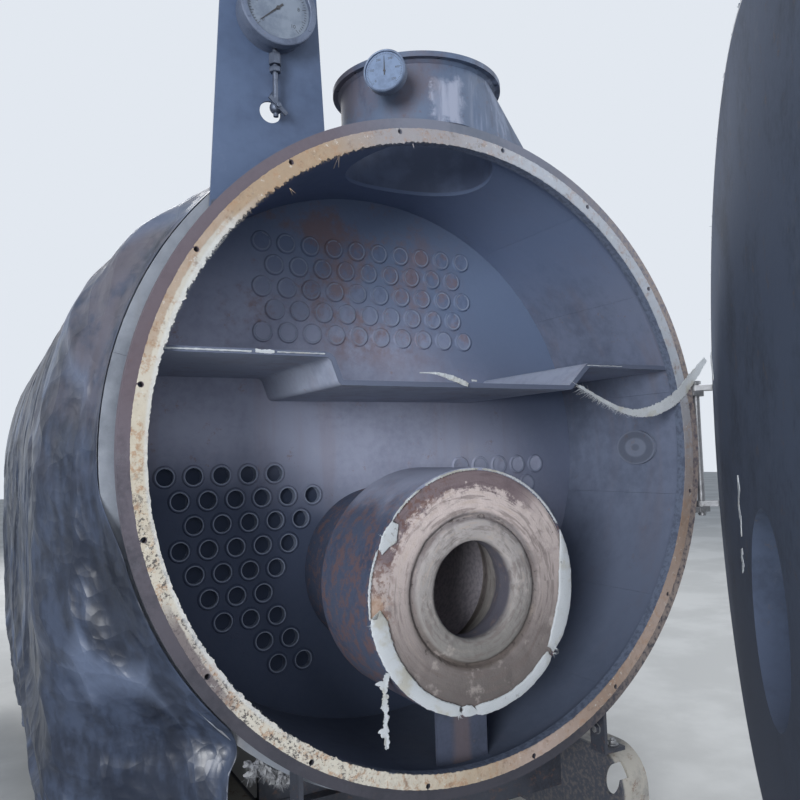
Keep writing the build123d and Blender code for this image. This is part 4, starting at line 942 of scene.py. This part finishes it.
def flue_finish():
    p = Paint("flue_steel", 0.6)
    broad = p.noise(4, 7, 0.65)
    runs = p.noise(26, 6, 0.65, p.stretched(1, 1, 0.10))
    p.colour = p.mix(tint(74, 88, 112), tint(80, 78, 92), broad.between(0.46, 0.64))
    p.coat((118, 128, 150), runs.between(0.50, 0.64) * p.axis("X").between(-0.02, 0.16) * 0.8)
    p.coat((54, 60, 80), p.noise(9, 6, 0.7, p.stretched(1, 1, 0.4, (1, 5, 2))).between(0.52, 0.66) * 0.7)
    p.coat((78, 66, 72), p.noise(30, 7, 0.72).between(0.58, 0.66) * 0.5)
    side = p.axis("X") + (p.noise(30, 6, 0.7) - 0.5) * 0.10
    high = p.axis("Z") + (p.noise(24, 6, 0.7, p.stretched(1, 1, 1, (6, 1, 3))) - 0.5) * 0.12
    patch = side.within(-0.085, -0.060, 0.010, 0.035)
    patch = patch * high.within(AXIS_Z + 0.93, AXIS_Z + 0.96, AXIS_Z + 1.06, AXIS_Z + 1.09)
    patch = patch * p.axis("Y").below(-1.5, -1.4) * (0.35 + runs.between(0.42, 0.58) * 0.5)
    p.coat((140, 146, 164), patch)
    soot = p.mix(tint(86, 98, 124), tint(72, 82, 106), broad.between(0.42, 0.60))
    p.colour = p.mix(soot, p.colour, p.reach(FLUE_X, FACE_Y + FLUE_Y, "Y").between(0.2375, 0.2395))
    return p.done(p.colour, 0.5 + broad * 0.25, runs * 0.4 + p.noise(80, 7, 0.7) * 0.6, 0.4, 0.002)


FLUE = flue_finish()
repaint(FLUE, "flue_neck", "flue_flange")
repaint(weathered("nozzle_steel", tint(96, 88, 90), tint(66, 58, 60), tint(128, 122, 124), tint(112, 74, 54),
                  rusty=0.52, scale=8, rough=0.66), "top_nozzles")
bm = bmesh.new()
for x, y in circle(12, 0.255, 15):
    turned(bm, [(0.0068, 0), (0.0105, 0), (0.0100, 0.0008), (0.0068, 0.0008)],
           facing(at(FLUE_X + x, FLUE_Y + y, 1.145), (0, 0, 1)), 16)
turned(bm, [(0.242, 0.0), (0.2520, 0.0), (0.2470, -0.006), (0.242, -0.010)],
       facing(at(FLUE_X, FLUE_Y, 1.129), (0, 0, 1)), 240, 0.002, 4)
piece("flue_flange_welds", bm, FLUE)


# Dials: thermometer on the flue neck and pressure gauge on its plate.
# Pale enamelled faces, plain marks and figures, dark needles, painted rims.
def plain_finish(name, colour, shade, rough=0.5, metal=0.0, scale=30, coat=0.0):
    p = Paint(name, rough, metal)
    p.shader.inputs["Coat Weight"].default_value = coat
    cloud = p.noise(scale, 6, 0.65)
    return p.done(p.mix(colour, shade, cloud.between(0.42, 0.66)), rough - 0.08 + cloud * 0.16,
                  p.noise(scale * 8, 4), 0.15, 0.0006)


DIAL_WHITE = plain_finish("dial_enamel", tint(98, 116, 144), tint(84, 100, 126), 0.6)
DIAL_CREAM = plain_finish("gauge_enamel", tint(108, 118, 132), tint(88, 98, 114), 0.6, scale=18)
INK = plain_finish("dial_ink", tint(34, 34, 38), tint(52, 52, 56), 0.5)
CASE_GREY = weathered("gauge_case_paint", tint(88, 98, 118), tint(66, 75, 94), tint(116, 124, 140),
                      tint(104, 88, 76), rusty=0.6, scale=16, rough=0.5, metal=0.2)
repaint(CASE_GREY, "pressure_gauge", "flue_thermometer")


def dial_marks(bm, place, radius, low, high, count, major, pointer, figures):
    """Ticks round a face, figures at the long ones, and a needle, in the plane of place."""
    for i in range(count + 1):
        t = math.radians(low + (high - low) * i / count)
        long = i % major == 0
        reach = radius * (0.13 if long else 0.07)
        spin = place @ Matrix.Rotation(t, 4, "Z")
        bar(bm, (radius * 0.96 - reach, -radius * 0.008, 0), (radius * 0.96, radius * 0.008, 0.0004), spin,
            0.0001)
    for i, word in enumerate(figures):
        t = math.radians(low + (high - low) * i / (len(figures) - 1))
        text = bpy.data.curves.new("figure", "FONT")
        text.body = word
        text.size = radius * 0.17
        text.align_x = text.align_y = "CENTER"
        text.extrude = 0.0002
        holder = bpy.data.objects.new("figure", text)
        mesh = bpy.data.meshes.new_from_object(holder)
        mesh.transform(place
                       @ Matrix.Translation((math.cos(t) * radius * 0.70, math.sin(t) * radius * 0.70, 0)))
        bm.from_mesh(mesh)
        bpy.data.objects.remove(holder)
        bpy.data.curves.remove(text)
        bpy.data.meshes.remove(mesh)
    spin = place @ Matrix.Translation((0, 0, 0.0012)) @ Matrix.Rotation(math.radians(pointer), 4, "Z")
    part = bmesh.new()
    blade = [part.verts.new(p)
             for p in ((-radius * 0.22, -radius * 0.035, 0), (radius * 0.78, -radius * 0.008, 0),
                       (radius * 0.82, 0, 0), (radius * 0.78, radius * 0.008, 0),
                       (-radius * 0.22, radius * 0.035, 0))]
    face = part.faces.new(blade)
    made = bmesh.ops.extrude_face_region(part, geom=[face])
    bmesh.ops.translate(part, vec=(0, 0, 0.0008),
                        verts=[g for g in made["geom"] if isinstance(g, bmesh.types.BMVert)])
    join(bm, part, spin)
    rod(bm, radius * 0.06, 0.0032, place, 20)


def upright_face(centre, out):
    """Place of a dial: Z out of the face, Y upwards."""
    out = Vector(out).normalized()
    side = Vector((0, 0, 1)).cross(out).normalized()
    return Matrix.Translation(centre) @ Matrix((side, out.cross(side), out)).transposed().to_4x4()


DIAL_TURN = math.radians(44.5)
out = Vector((-math.sin(DIAL_TURN), -math.cos(DIAL_TURN), 0))
dial_front = at(FLUE_X, FLUE_Y, 1.046) + out * (0.243 + 0.092 + 0.026)
place = upright_face(dial_front, out)
bm = bmesh.new()
turned(bm, [(0.0001, 0), (0.0545, 0), (0.0545, 0.0006), (0.0001, 0.0006)], place, 64)
piece("thermometer_face", bm, DIAL_WHITE)
bm = bmesh.new()
dial_marks(bm, place @ Matrix.Translation((0, 0, 0.0006)), 0.053, 225, -45, 50, 10, 90,
           ["0", "100", "200", "300", "400", "500"])
piece("thermometer_marks", bm, INK)
bm = bmesh.new()
turned(bm, [(0.0540, 0), (0.0600, -0.004), (0.0602, 0.004), (0.0580, 0.0065), (0.0550, 0.006),
            (0.0540, 0.003)], place, 96)
piece("thermometer_rim", bm, plain_finish("dull_rim", tint(96, 110, 134), tint(72, 84, 106), 0.5, 0.2))

GAUGE_X, GAUGE_Z, GAUGE_R, PLATE_FRONT = -0.534, 1.175, 0.105, 0.086
gauge_front = at(GAUGE_X, PLATE_FRONT - 0.0003 - 0.058, GAUGE_Z)
place = upright_face(gauge_front, (0, -1, 0))
bm = bmesh.new()
turned(bm, [(0.0001, 0), (0.0875, 0), (0.0875, 0.0008), (0.0001, 0.0008)], place, 96)
piece("gauge_face", bm, DIAL_CREAM)
bm = bmesh.new()
dial_marks(bm, place @ Matrix.Translation((0, 0, 0.0008)), 0.084, 225, -45, 50, 5, 222,
           ["0", "2", "4", "6", "8", "10"])
piece("gauge_marks", bm, INK)
bm = bmesh.new()
turned(bm, [(0.0880, 0.0), (0.0880, 0.0120), (0.0900, 0.0135), (0.1030, 0.0130), (0.1055, 0.0105),
            (0.1055, -0.012), (0.1020, -0.0140), (0.0970, -0.0140), (0.0970, 0.0)], place, 128)
for x, y in circle(3, 0.0965, 90):
    turned(bm, [(0.0001, 0.0125), (0.0034, 0.0125), (0.0030, 0.0150), (0.0001, 0.0152)],
           place @ Matrix.Translation((x, y, 0)), 12)
piece("gauge_rim", bm, CASE_GREY)

# Gauge plate: flat sheet painted blue-grey, flame cut, with one hole; a small brass cock hangs before it.
# The paint is even and a little chalky.
PLATE = weathered("plate_paint", tint(68, 84, 112), tint(58, 72, 98), tint(84, 98, 124), tint(78, 76, 88),
                  rusty=0.66, scale=1.8, rough=0.6, grain=0.5)
repaint(PLATE, "gauge_plate")
BRASS = weathered("tarnished_brass", tint(88, 96, 112), tint(64, 70, 84), tint(126, 130, 136),
                  tint(96, 94, 92), rusty=0.58, scale=30, rough=0.45, metal=0.7)
repaint(BRASS, "gauge_cock")
COCK_Y = 0.057
bm = bmesh.new()
for z in (GAUGE_Z - GAUGE_R - 0.014, GAUGE_Z - GAUGE_R - 0.052):
    turned(bm, [(0.0072, -0.007), (0.0150, -0.007), (0.0165, -0.004), (0.0165, 0.004), (0.0150, 0.007),
                (0.0072, 0.007)], facing(at(GAUGE_X, COCK_Y, z), (0, 0, 1)), 6)
place = facing(at(GAUGE_X, COCK_Y - 0.017, 0.914), (0, -1, 0))
bolt(bm, place, 0.012, 0.006, 0.0015)
for x, z in ((-0.690, 0.640), (-0.470, 0.780)):
    bolt(bm, facing(at(x, PLATE_FRONT, z), (0, -1, 0)), 0.017, 0.009)
piece("cock_nuts", bm, BRASS)


# Skids, cross beams, saddles and front brackets: welded plate, painted grey, chipped to primer and rust.
# Runs of fillet weld along the joints, anchor holes in the feet, bolts through the brackets.
def skid_finish():
    p = Paint("skid_paint", 0.7)
    fine, surface = stained(p, tint(150, 147, 140), tint(106, 106, 108), tint(178, 174, 166),
                            tint(104, 80, 66), 0.54, 5)
    # Painted shade: the inner part of each skid, under the boiler, is painted dark; only its outer part keeps
    # the pale grey paint.
    side = p.axis("X")
    web = ((side * side) ** 0.5 + (p.noise(30, 5, 0.7) - 0.5) * 0.004).between(0.533, 0.544)
    dim = p.mix(tint(56, 60, 70), tint(82, 80, 82), fine.between(0.46, 0.60))
    return p.done(p.mix(dim, p.colour, web), 0.6 + fine * 0.2, surface, 0.4, 0.002)


repaint(skid_finish(), "skid_left", "skid_right")
DARK_PAINT = weathered("bracket_paint", tint(50, 54, 64), tint(38, 41, 50), tint(80, 82, 88),
                       tint(84, 66, 60), rusty=0.54, scale=9, rough=0.6)
repaint(DARK_PAINT, "front_brackets", "cross_beams", "saddle_front", "saddle_rear")


def weld_run(bm, start, end, size=0.007, seed=0):
    """Fillet bead between two points, lying in a corner."""
    start, end = Vector(start), Vector(end)
    long = (end - start).length
    part = bmesh.new()
    cuts = max(4, int(long / 0.008))
    bmesh.ops.create_cone(part, cap_ends=True, segments=8, radius1=size, radius2=size, depth=long,
                          matrix=Matrix.Translation((0, 0, long / 2)))
    sides = [e for e in part.edges if abs((e.verts[0].co - e.verts[1].co).normalized().z) > 0.9]
    bmesh.ops.subdivide_edges(part, edges=sides, cuts=cuts)
    for v in part.verts:
        ripple = 1 + 0.18 * math.sin(v.co.z * 900) + 0.25 * noise.noise(Vector((seed, v.co.z * 60, 0)))
        v.co.x *= ripple
        v.co.y *= ripple
    join(bm, part, facing(start, end - start))


SADDLES = (0.330, 2.560)
bm = bmesh.new()
for y in SADDLES:
    for side in (-1, 1):
        weld_run(bm, at(side * 0.40, y, -0.985), at(side * 0.515, y, -0.985), 0.006, y)
        weld_run(bm, at(side * 0.528, y - 0.035, -0.986), at(side * 0.528, y + 0.055, -0.986), 0.006, y + 1)
    for i in range(40):
        a, b = (math.radians(-90 - 33.5 + 67 * k / 40) for k in (i, i + 1))
        weld_run(bm, at(math.cos(a) * 0.9125, y - 0.001, math.sin(a) * 0.9125),
                 at(math.cos(b) * 0.9125, y - 0.001, math.sin(b) * 0.9125), 0.0055, i)
for side in (-1, 1):
    weld_run(bm, at(side * 0.505, 0.042, -0.764), at(side * 0.505, 0.102, -0.764), 0.006, side)
piece("base_welds", bm, DARK_PAINT)
bm = bmesh.new()
for side in (-1, 1):
    bolt(bm, facing(at(side * 0.5125, 0.072, -0.892), (side, 0, 0)), 0.020, 0.010)
    bolt(bm, facing(at(side * 0.4995, 0.072, -0.892), (-side, 0, 0)), 0.020, 0.010)
    bolt(bm, facing(at(side * 0.562, 0.072, -0.9527), (0, 0, 1)), 0.022, 0.011, shank=0.006)
piece("bracket_bolts", bm, HINGE_STEEL)

# Door: dished steel pan, painted blue-black outside, filled with dark insulation board.
# The insulation face is scorched and its edge frayed; scraps of white gasket still stick to it.
DOOR_PAINT = weathered("door_paint", tint(96, 106, 122), tint(72, 80, 96), tint(122, 128, 138),
                       tint(104, 78, 64), rusty=0.60, scale=2.2, rough=0.5, grain=0.7, streaks=0.2)
repaint(DOOR_PAINT, "door_pan", "burner_flange", "rear_cover", "rear_port_cover")


def board_finish():
    p = Paint("scorched_board", 0.92)
    fine, surface = stained(p, tint(70, 82, 104), tint(50, 60, 78), tint(96, 102, 116), tint(88, 82, 84),
                            0.57, 3)
    # Darker towards the bottom.
    low = p.axis("Z").below(AXIS_Z - 0.75, AXIS_Z + 0.15)
    p.coat((44, 52, 70), low * 0.7)
    return p.done(p.colour, None, surface, 0.77, 0.002)


BOARD = board_finish()
repaint(BOARD, "door_insulation")
HINGE_X, HINGE_Y, DOOR_OPEN = 0.988, 0.032, 44.5
HINGE = at(HINGE_X, HINGE_Y, 0)
OPEN = (Matrix.Translation(HINGE) @ Matrix.Rotation(math.radians(DOOR_OPEN), 4, "Z")
        @ Matrix.Translation(-HINGE))


def swing(bm):
    """Turn what was made on the closed door to where the door stands."""
    bmesh.ops.transform(bm, matrix=OPEN, verts=bm.verts)
    return bm


BOARD_FACE, SCRAP_THICK = -0.0195, 0.003
bm = bmesh.new()
join(bm, flat_tape([at(0.930 - 0.004 * i, BOARD_FACE, 0.296 - 0.008 * i) for i in range(12)],
                   lambda t: 0.022 - 0.008 * t, SCRAP_THICK, 31, 0.5))
for z0, z1, seed in ((-0.10, -0.26, 41), (-0.30, -0.36, 43)):
    rows = 24
    join(bm, flat_tape([at(0.40 + 0.012 * math.sin(i * 0.4 + seed), BOARD_FACE, z0 + (z1 - z0) * i / rows)
                        for i in range(rows + 1)], lambda t: 0.012 + 0.008 * math.sin(t * 7) ** 2,
                       SCRAP_THICK, seed, 0.7))
piece("door_gasket_scraps", swing(bm), TAPE, body="front_door")


def smooth(value, low, high):
    """0 at low, 1 at high, smooth between."""
    t = min(1.0, max(0.0, (value - low) / (high - low)))
    return t * t * (3 - 2 * t)


HINGE_FREE = 17.0
FRAY_IN, FRAY_WIDE = 0.940, 0.045
part = bmesh.new()
rows = 5
line = [part.verts.new((FRAY_IN + FRAY_WIDE * i / rows, 0, 0)) for i in range(rows + 1)]
spokes = [part.edges.new(pair) for pair in zip(line, line[1:])]
bmesh.ops.spin(part, geom=line + spokes, cent=(0, 0, 0), axis=(0, 0, 1),
               angle=math.radians(360 - 2 * HINGE_FREE), steps=900, use_merge=False)
for v in part.verts:
    radius = v.co.length
    out = (radius - FRAY_IN) / FRAY_WIDE
    spot = v.co.normalized() * 14
    wave = noise.noise(spot) * 0.5 + noise.noise(spot * 3.3) * 0.4 + noise.noise(spot * 11) * 0.4
    turn = math.degrees(math.atan2(v.co.y, v.co.x)) % 360
    ends = smooth(min(turn, 360 - 2 * HINGE_FREE - turn), 0, 6)
    v.co *= (FRAY_IN + out * (0.020 + (0.016 + 0.016 * wave) * ends)) / radius
    v.co.z = out * 0.012 * (0.5 + noise.noise(spot * 2.1)) + 0.002 * noise.noise(spot * 9)
thicken(part, (0, 0, 0.010))
bm = bmesh.new()
join(bm, part, Matrix.Translation(at(0, -0.0225, 0)) @ Matrix.Rotation(math.radians(-HINGE_FREE), 4, "Y")
     @ Matrix.Rotation(math.radians(90), 4, "X"))
pick = random.Random(5)
strands = []
for i in range(1500):
    t = math.radians(pick.uniform(HINGE_FREE + 1, 359 - HINGE_FREE))
    strands.append((at(math.cos(t) * 0.966, -0.027, math.sin(t) * 0.966),
                    (math.cos(t), pick.uniform(-0.5, 0.1), math.sin(t)), 0.016))
fibres(bm, strands, 5, 0.0008)
piece("door_board_fray", swing(bm), BOARD, body="front_door")

bm = bmesh.new()
for x, z in circle(8, 0.285, 22.5):
    bolt(bm, facing(at(THROAT_X + x, -0.1403, THROAT_Z + z), (0, -1, 0)), 0.024, 0.013, shank=0.008)
turned(bm, [(0.320, 0.0), (0.328, 0.0), (0.320, 0.008)],
       facing(at(THROAT_X, -0.1200, THROAT_Z), (0, -1, 0)), 200, 0.0015, 9)
for z in (0.188, -0.212):
    bolt(bm, facing(at(0.560, -0.1365, z), (0, -1, 0)), 0.014, 0.008)
piece("door_bolts", swing(bm), HINGE_STEEL, body="front_door")

# Hinge: washers between the fixed lugs and the arms of the door, a split pin under the long pin.
# Bright steel gone dull, with short weld beads beside the lugs.
bm = bmesh.new()
for z in (0.178, -0.222):
    turned(bm, [(0.0125, 0.0), (0.026, 0.0), (0.026, 0.001), (0.0125, 0.001)],
           facing(at(HINGE_X, HINGE_Y, z), (0, 0, 1)), 48)
rod(bm, 0.002, 0.040, facing(at(0.968, HINGE_Y, -0.247), (1, 0, 0)), 10)
for z in (0.160, -0.240):
    for y in (0.0045, 0.0275):
        weld_run(bm, at(0.9485, y, z + 0.001), at(0.9485, y, z + 0.017), 0.0045, z + y)
piece("hinge_washers", bm, HINGE_STEEL)

# Rear cover: ring of studs and nuts round it, bolts round its port, a sight glass in the port's cover.
# Painted as the door is, the nuts darker.
PORT_Z = -0.399
bm = bmesh.new()
for x, z in circle(16, 0.918, BOLT_PHASE):
    bolt(bm, facing(at(x, 3.2803, z), (0, 1, 0)), 0.018, 0.012, shank=0.008)
for x, z in circle(8, 0.210, 22.5):
    bolt(bm, facing(at(x, 3.350, PORT_Z + z), (0, 1, 0)), 0.018, 0.011)
turned(bm, [(0.0302, 0.0), (0.0425, 0.0), (0.0425, 0.006), (0.036, 0.009), (0.0302, 0.009)],
       facing(at(0, 3.386, PORT_Z), (0, 1, 0)), 48)
piece("rear_studs", bm, DARK_PAINT)
bm = bmesh.new()
rod(bm, 0.0300, 0.004, facing(at(0, 3.376, PORT_Z), (0, 1, 0)), 48)
piece("sight_glass", bm, plain_finish("smoked_glass", tint(30, 34, 38), tint(44, 46, 48), 0.12, coat=1.0))

# Cover sheet: thin black plastic laid over the left flank and tucked behind the front ring.
# It clings to the jacket above, bellies out at the shoulder and hangs in folds towards the ground.
FOLD_ROWS, FOLD_COLUMNS = 290, 165
HUG_R, INSIDE_R = 0.9737, 0.952
SHEET_FRONT, SHEET_BACK, TUCK, DRAPE = 0.109, 2.977, 0.047, 2.95
HUG_TURNS = (126, 136, 146, 156, 166, 176, 186, 196, 207, 218, 228)
HANG = [(-0.668, -0.800), (-0.672, -0.880), (-0.668, -0.960), (-0.660, -1.040), (-0.655, -1.115)]
SHOULDER = ((126, 0.983), (136, 0.997), (146, 1.040), (156, 1.060), (166, 1.068), (176, 1.075))
FLANK = [(-1.079, -0.100), (-1.075, -0.270), (-1.066, -0.450), (-1.055, -0.610), (-1.045, -0.740),
         (-1.037, -0.820), (-1.028, -0.900), (-1.018, -0.970), (-1.008, -1.045), (-1.000, -1.115)]


def from_axis(degrees, radius):
    return radius * math.cos(math.radians(degrees)), radius * math.sin(math.radians(degrees))


FRONT_LINE = [from_axis(t, HUG_R) for t in HUG_TURNS] + HANG
SIDE_LINE = [from_axis(t, r) for t, r in SHOULDER] + FLANK


def drape_spot(u, v):
    """Place on the sheet: u from the front edge to the back, v from the top down."""
    front = SHEET_FRONT - TUCK * smooth(v, 0.38, 0.46) * (1 - smooth(v, 0.62, 0.68))
    y = front + u * (SHEET_BACK - front)
    blend = smooth(y, SHEET_FRONT, SHEET_FRONT + 0.16 + 0.29 * v)
    rows = len(FRONT_LINE) - 1
    i = min(int(v * rows), rows - 1)
    f = v * rows - i

    def on(line):
        a, b = Vector(line[i]), Vector(line[i + 1])
        before, after = Vector(line[max(i - 1, 0)]), Vector(line[min(i + 2, rows)])
        return 0.5 * (2 * a + (b - before) * f + (2 * before - 5 * a + 4 * b - after) * f * f
                      + (3 * a - before - 3 * b + after) * f ** 3)
    spot = on(FRONT_LINE).lerp(on(SIDE_LINE), blend)
    return spot * (1 - max(0.0, SHEET_FRONT - y) * 0.5), y


def ridge(x, y, z):
    """Sharp crest where the noise crosses zero, as in a crease of stiff plastic."""
    return 1 - abs(noise.noise(Vector((x, y, z)))) * 2.6


def fold(y, v):
    """Height of the folds: hanging ones below the shoulder, pulls that fan out from the ring, creases."""
    along, down = y - SHEET_FRONT, v * DRAPE
    bend = 0.35 * noise.noise(Vector((along * 1.1, down * 0.9, 2)))
    lean = along + 0.24 * down + bend
    hang = (ridge(lean * 3.2, down * 0.4, 7.3) * 0.75 + noise.noise(Vector((lean * 5.5, down * 0.6, 0.5)))
            * 0.4)
    pull = ridge((down + along * 1.5 + bend) * 4.5, along * 1.3, 3.3) * math.exp(-max(along, 0) / 0.8)
    crease = (ridge(lean * 8 + bend * 4, down * 1.8, 1.1) * 0.008
              + ridge(lean * 17, down * 6 + bend * 9, 4.0) * 0.0022)
    return (hang * 0.042 * smooth(v, 0.26, 0.72) + pull * 0.013 + crease) * smooth(along, 0.0, 0.14)


def plastic():
    p = Paint("black_plastic_sheet", 0.3)

    def facets(scale, x, y, z, shift=(0, 0, 0)):
        bent = p.node("ShaderNodeVectorMath", {"operation": "ADD"},
                      {0: p.stretched(x, y, z, shift),
                       1: p.node("ShaderNodeVectorMath", {"operation": "SCALE"},
                                 {0: p.node("ShaderNodeTexNoise", None,
                                            {"Vector": p.place, "Scale": 1.6, "Detail": 3.0}, out="Color"),
                                  "Scale": 0.16})})
        return p.node("ShaderNodeTexVoronoi", {"feature": "F1"}, {"Vector": bent, "Scale": scale},
                      out="Distance")
    large, middle = facets(4.5, 1, 1, 0.40), facets(11, 1, 1, 0.7, (4, 1, 2))
    small = facets(30, 1, 1, 1, (1, 7, 3))
    dust = p.noise(3.5, 7, 0.65) * 0.6 + p.noise(30, 5, 0.6, p.stretched(1, 1, 0.3)) * 0.4
    p.colour = p.mix(tint(30, 37, 52), tint(52, 62, 82), dust.between(0.42, 0.60))
    high = (p.axis("Z") + p.noise(2.2, 5) * 0.5).between(AXIS_Z + 0.15, AXIS_Z + 0.65)
    p.coat((88, 84, 92), high * p.noise(6, 7, 0.7).between(0.40, 0.60) * 0.75)
    # Painted shade: dark streaks stand for the shade in the folds.
    p.coat((20, 25, 36), p.noise(5, 5, 0.6, p.stretched(1, 1, 0.4, (5, 1, 2))).between(0.50, 0.62) * 0.6)
    # Painted highlight: pale blue-grey on the ridges of the large facets, where the creases catch the light.
    p.coat((96, 108, 132), large.between(0.62, 0.80) * 0.5)
    return p.done(p.colour, 0.25 + dust * 0.24, large * 1.0 + middle * 0.34 + small * 0.05, 1.0, 0.055)


bm = bmesh.new()
bmesh.ops.create_grid(bm, x_segments=FOLD_ROWS, y_segments=FOLD_COLUMNS, size=0.5)
for v in bm.verts:
    along, down = v.co.x + 0.5, 0.5 - v.co.y
    spot, y = drape_spot(along, down)
    nearby, _ = drape_spot(along, min(1.0, down + 0.002) if down < 0.99 else down - 0.002)
    run = (nearby - spot).normalized() * (1 if down < 0.99 else -1)
    off = Vector((run.y, -run.x))
    if off.dot(Vector((-1, 0.3))) < 0:
        off = -off
    height = fold(y, down) + 0.001
    place = spot + off * height
    least = HUG_R + 0.004 * smooth(y, 0.3, 0.5) if y > 0.107 else INSIDE_R
    if place.length < least:
        place *= least / place.length
    edge = 0.03 * noise.noise(Vector((along * 14, 0.3, 9))) * max(0.0, (down - 0.9) * 10)
    v.co = at(place.x, y, place.y + edge * 0.5)
cover = piece("draped_cover_sheet", bm, plastic(), 60)
thick = cover.modifiers.new("thickness", "SOLIDIFY")
thick.thickness = 0.0012
thick.offset = 0.0
area = sum(p.area for p in cover.data.polygons)
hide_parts("cover_sheet")
round(area / DRAPE, 3)

# Torn insulation: a tuft of mineral wool that hangs out under the front ring on the left.
# Grey-white, matted, with loose ends.
WOOL = weathered("mineral_wool", tint(132, 134, 138), tint(94, 96, 104), tint(182, 182, 178),
                 tint(112, 102, 92), rusty=0.6, scale=30, rough=0.95, grain=2.5)
bm = bmesh.new()
pick = random.Random(17)
TUFTS = 30
for i in range(TUFTS):
    way = i / (TUFTS - 1)
    part = bmesh.new()
    bmesh.ops.create_icosphere(part, subdivisions=3, radius=0.5)
    shake(part, 0.6, 2.6, i)
    spot = at(-0.615 + 0.135 * way, 0.114 + pick.uniform(0, 0.02), -0.792 - 0.045 * way
              + pick.uniform(-0.022, 0.018))
    join(bm, part, Matrix.Translation(spot) @ Matrix.Rotation(pick.uniform(0, 3), 4, "Y")
         @ Matrix.Diagonal((pick.uniform(0.016, 0.034), 0.012, pick.uniform(0.008, 0.018), 1)))
    fibres(bm, [(spot, (pick.uniform(-0.6, 0.6), -0.3, -1), 0.032)] * 22, i + 100, 0.0006)
piece("torn_insulation", bm, WOOL, 60)

# Floor, backdrop and light: pale concrete floor, plain pale surroundings, soft lamps
floor_paint = Paint("pale_floor", 0.85)
speckle = floor_paint.noise(1.2, 6, 0.6)
bm = bmesh.new()
bmesh.ops.create_grid(bm, x_segments=1, y_segments=1, size=30.0)
mesh = bpy.data.meshes.new("floor")
bm.to_mesh(mesh)
bm.free()
mesh.materials.append(floor_paint.done(floor_paint.mix(tint(206, 206, 204), tint(192, 192, 190),
                                                       speckle.between(0.4, 0.6))))
ground = bpy.data.objects.new("floor", mesh)
bpy.context.collection.objects.link(ground)

world = bpy.data.worlds.new("surroundings")
bpy.context.scene.world = world
world.use_nodes = True
tree = world.node_tree
back = tree.nodes["Background"]
back.inputs["Color"].default_value = tint(196, 208, 224)
back.inputs["Strength"].default_value = 0.5
pale = tree.nodes.new("ShaderNodeBackground")
pale.inputs["Color"].default_value = tint(226, 232, 240)
rays = tree.nodes.new("ShaderNodeLightPath")
seen = rays.outputs["Is Camera Ray"]
for kind in ("Is Glossy Ray", "Is Transmission Ray"):
    either = tree.nodes.new("ShaderNodeMath")
    either.operation = "ADD"
    either.use_clamp = True
    tree.links.new(seen, either.inputs[0])
    tree.links.new(rays.outputs[kind], either.inputs[1])
    seen = either.outputs[0]
choose = tree.nodes.new("ShaderNodeMixShader")
for i, socket in enumerate((seen, back.outputs[0], pale.outputs[0])):
    tree.links.new(socket, choose.inputs[i])
tree.links.new(choose.outputs[0], tree.nodes["World Output"].inputs["Surface"])


def lamp(name, place, target, size, watts, colour):
    light = bpy.data.lights.new(name, "AREA")
    light.shape = "DISK"
    light.size = size
    light.energy = watts
    light.color = colour
    holder = bpy.data.objects.new(name, light)
    bpy.context.collection.objects.link(holder)
    holder.matrix_world = facing(place, Vector(place) - Vector(target))


lamp("left_soft", (-9.0, -9.5, 2.4), (0, -1.2, 1.1), 5.0, 1450, (0.98, 0.99, 1.0))
lamp("front_soft", (-1.4, -8.0, 2.2), (0, -1.2, 1.1), 3.5, 85, (1.0, 1.0, 1.0))
lamp("right_soft", (6.0, -4.6, 4.4), (0, -1.0, 1.2), 3.6, 200, (0.96, 0.98, 1.0))
lamp("back_soft", (1.5, 6.5, 5.0), (0, 0.6, 1.4), 5.0, 380, (1.0, 1.0, 1.0))
bpy.context.scene.view_settings.view_transform = "Standard"
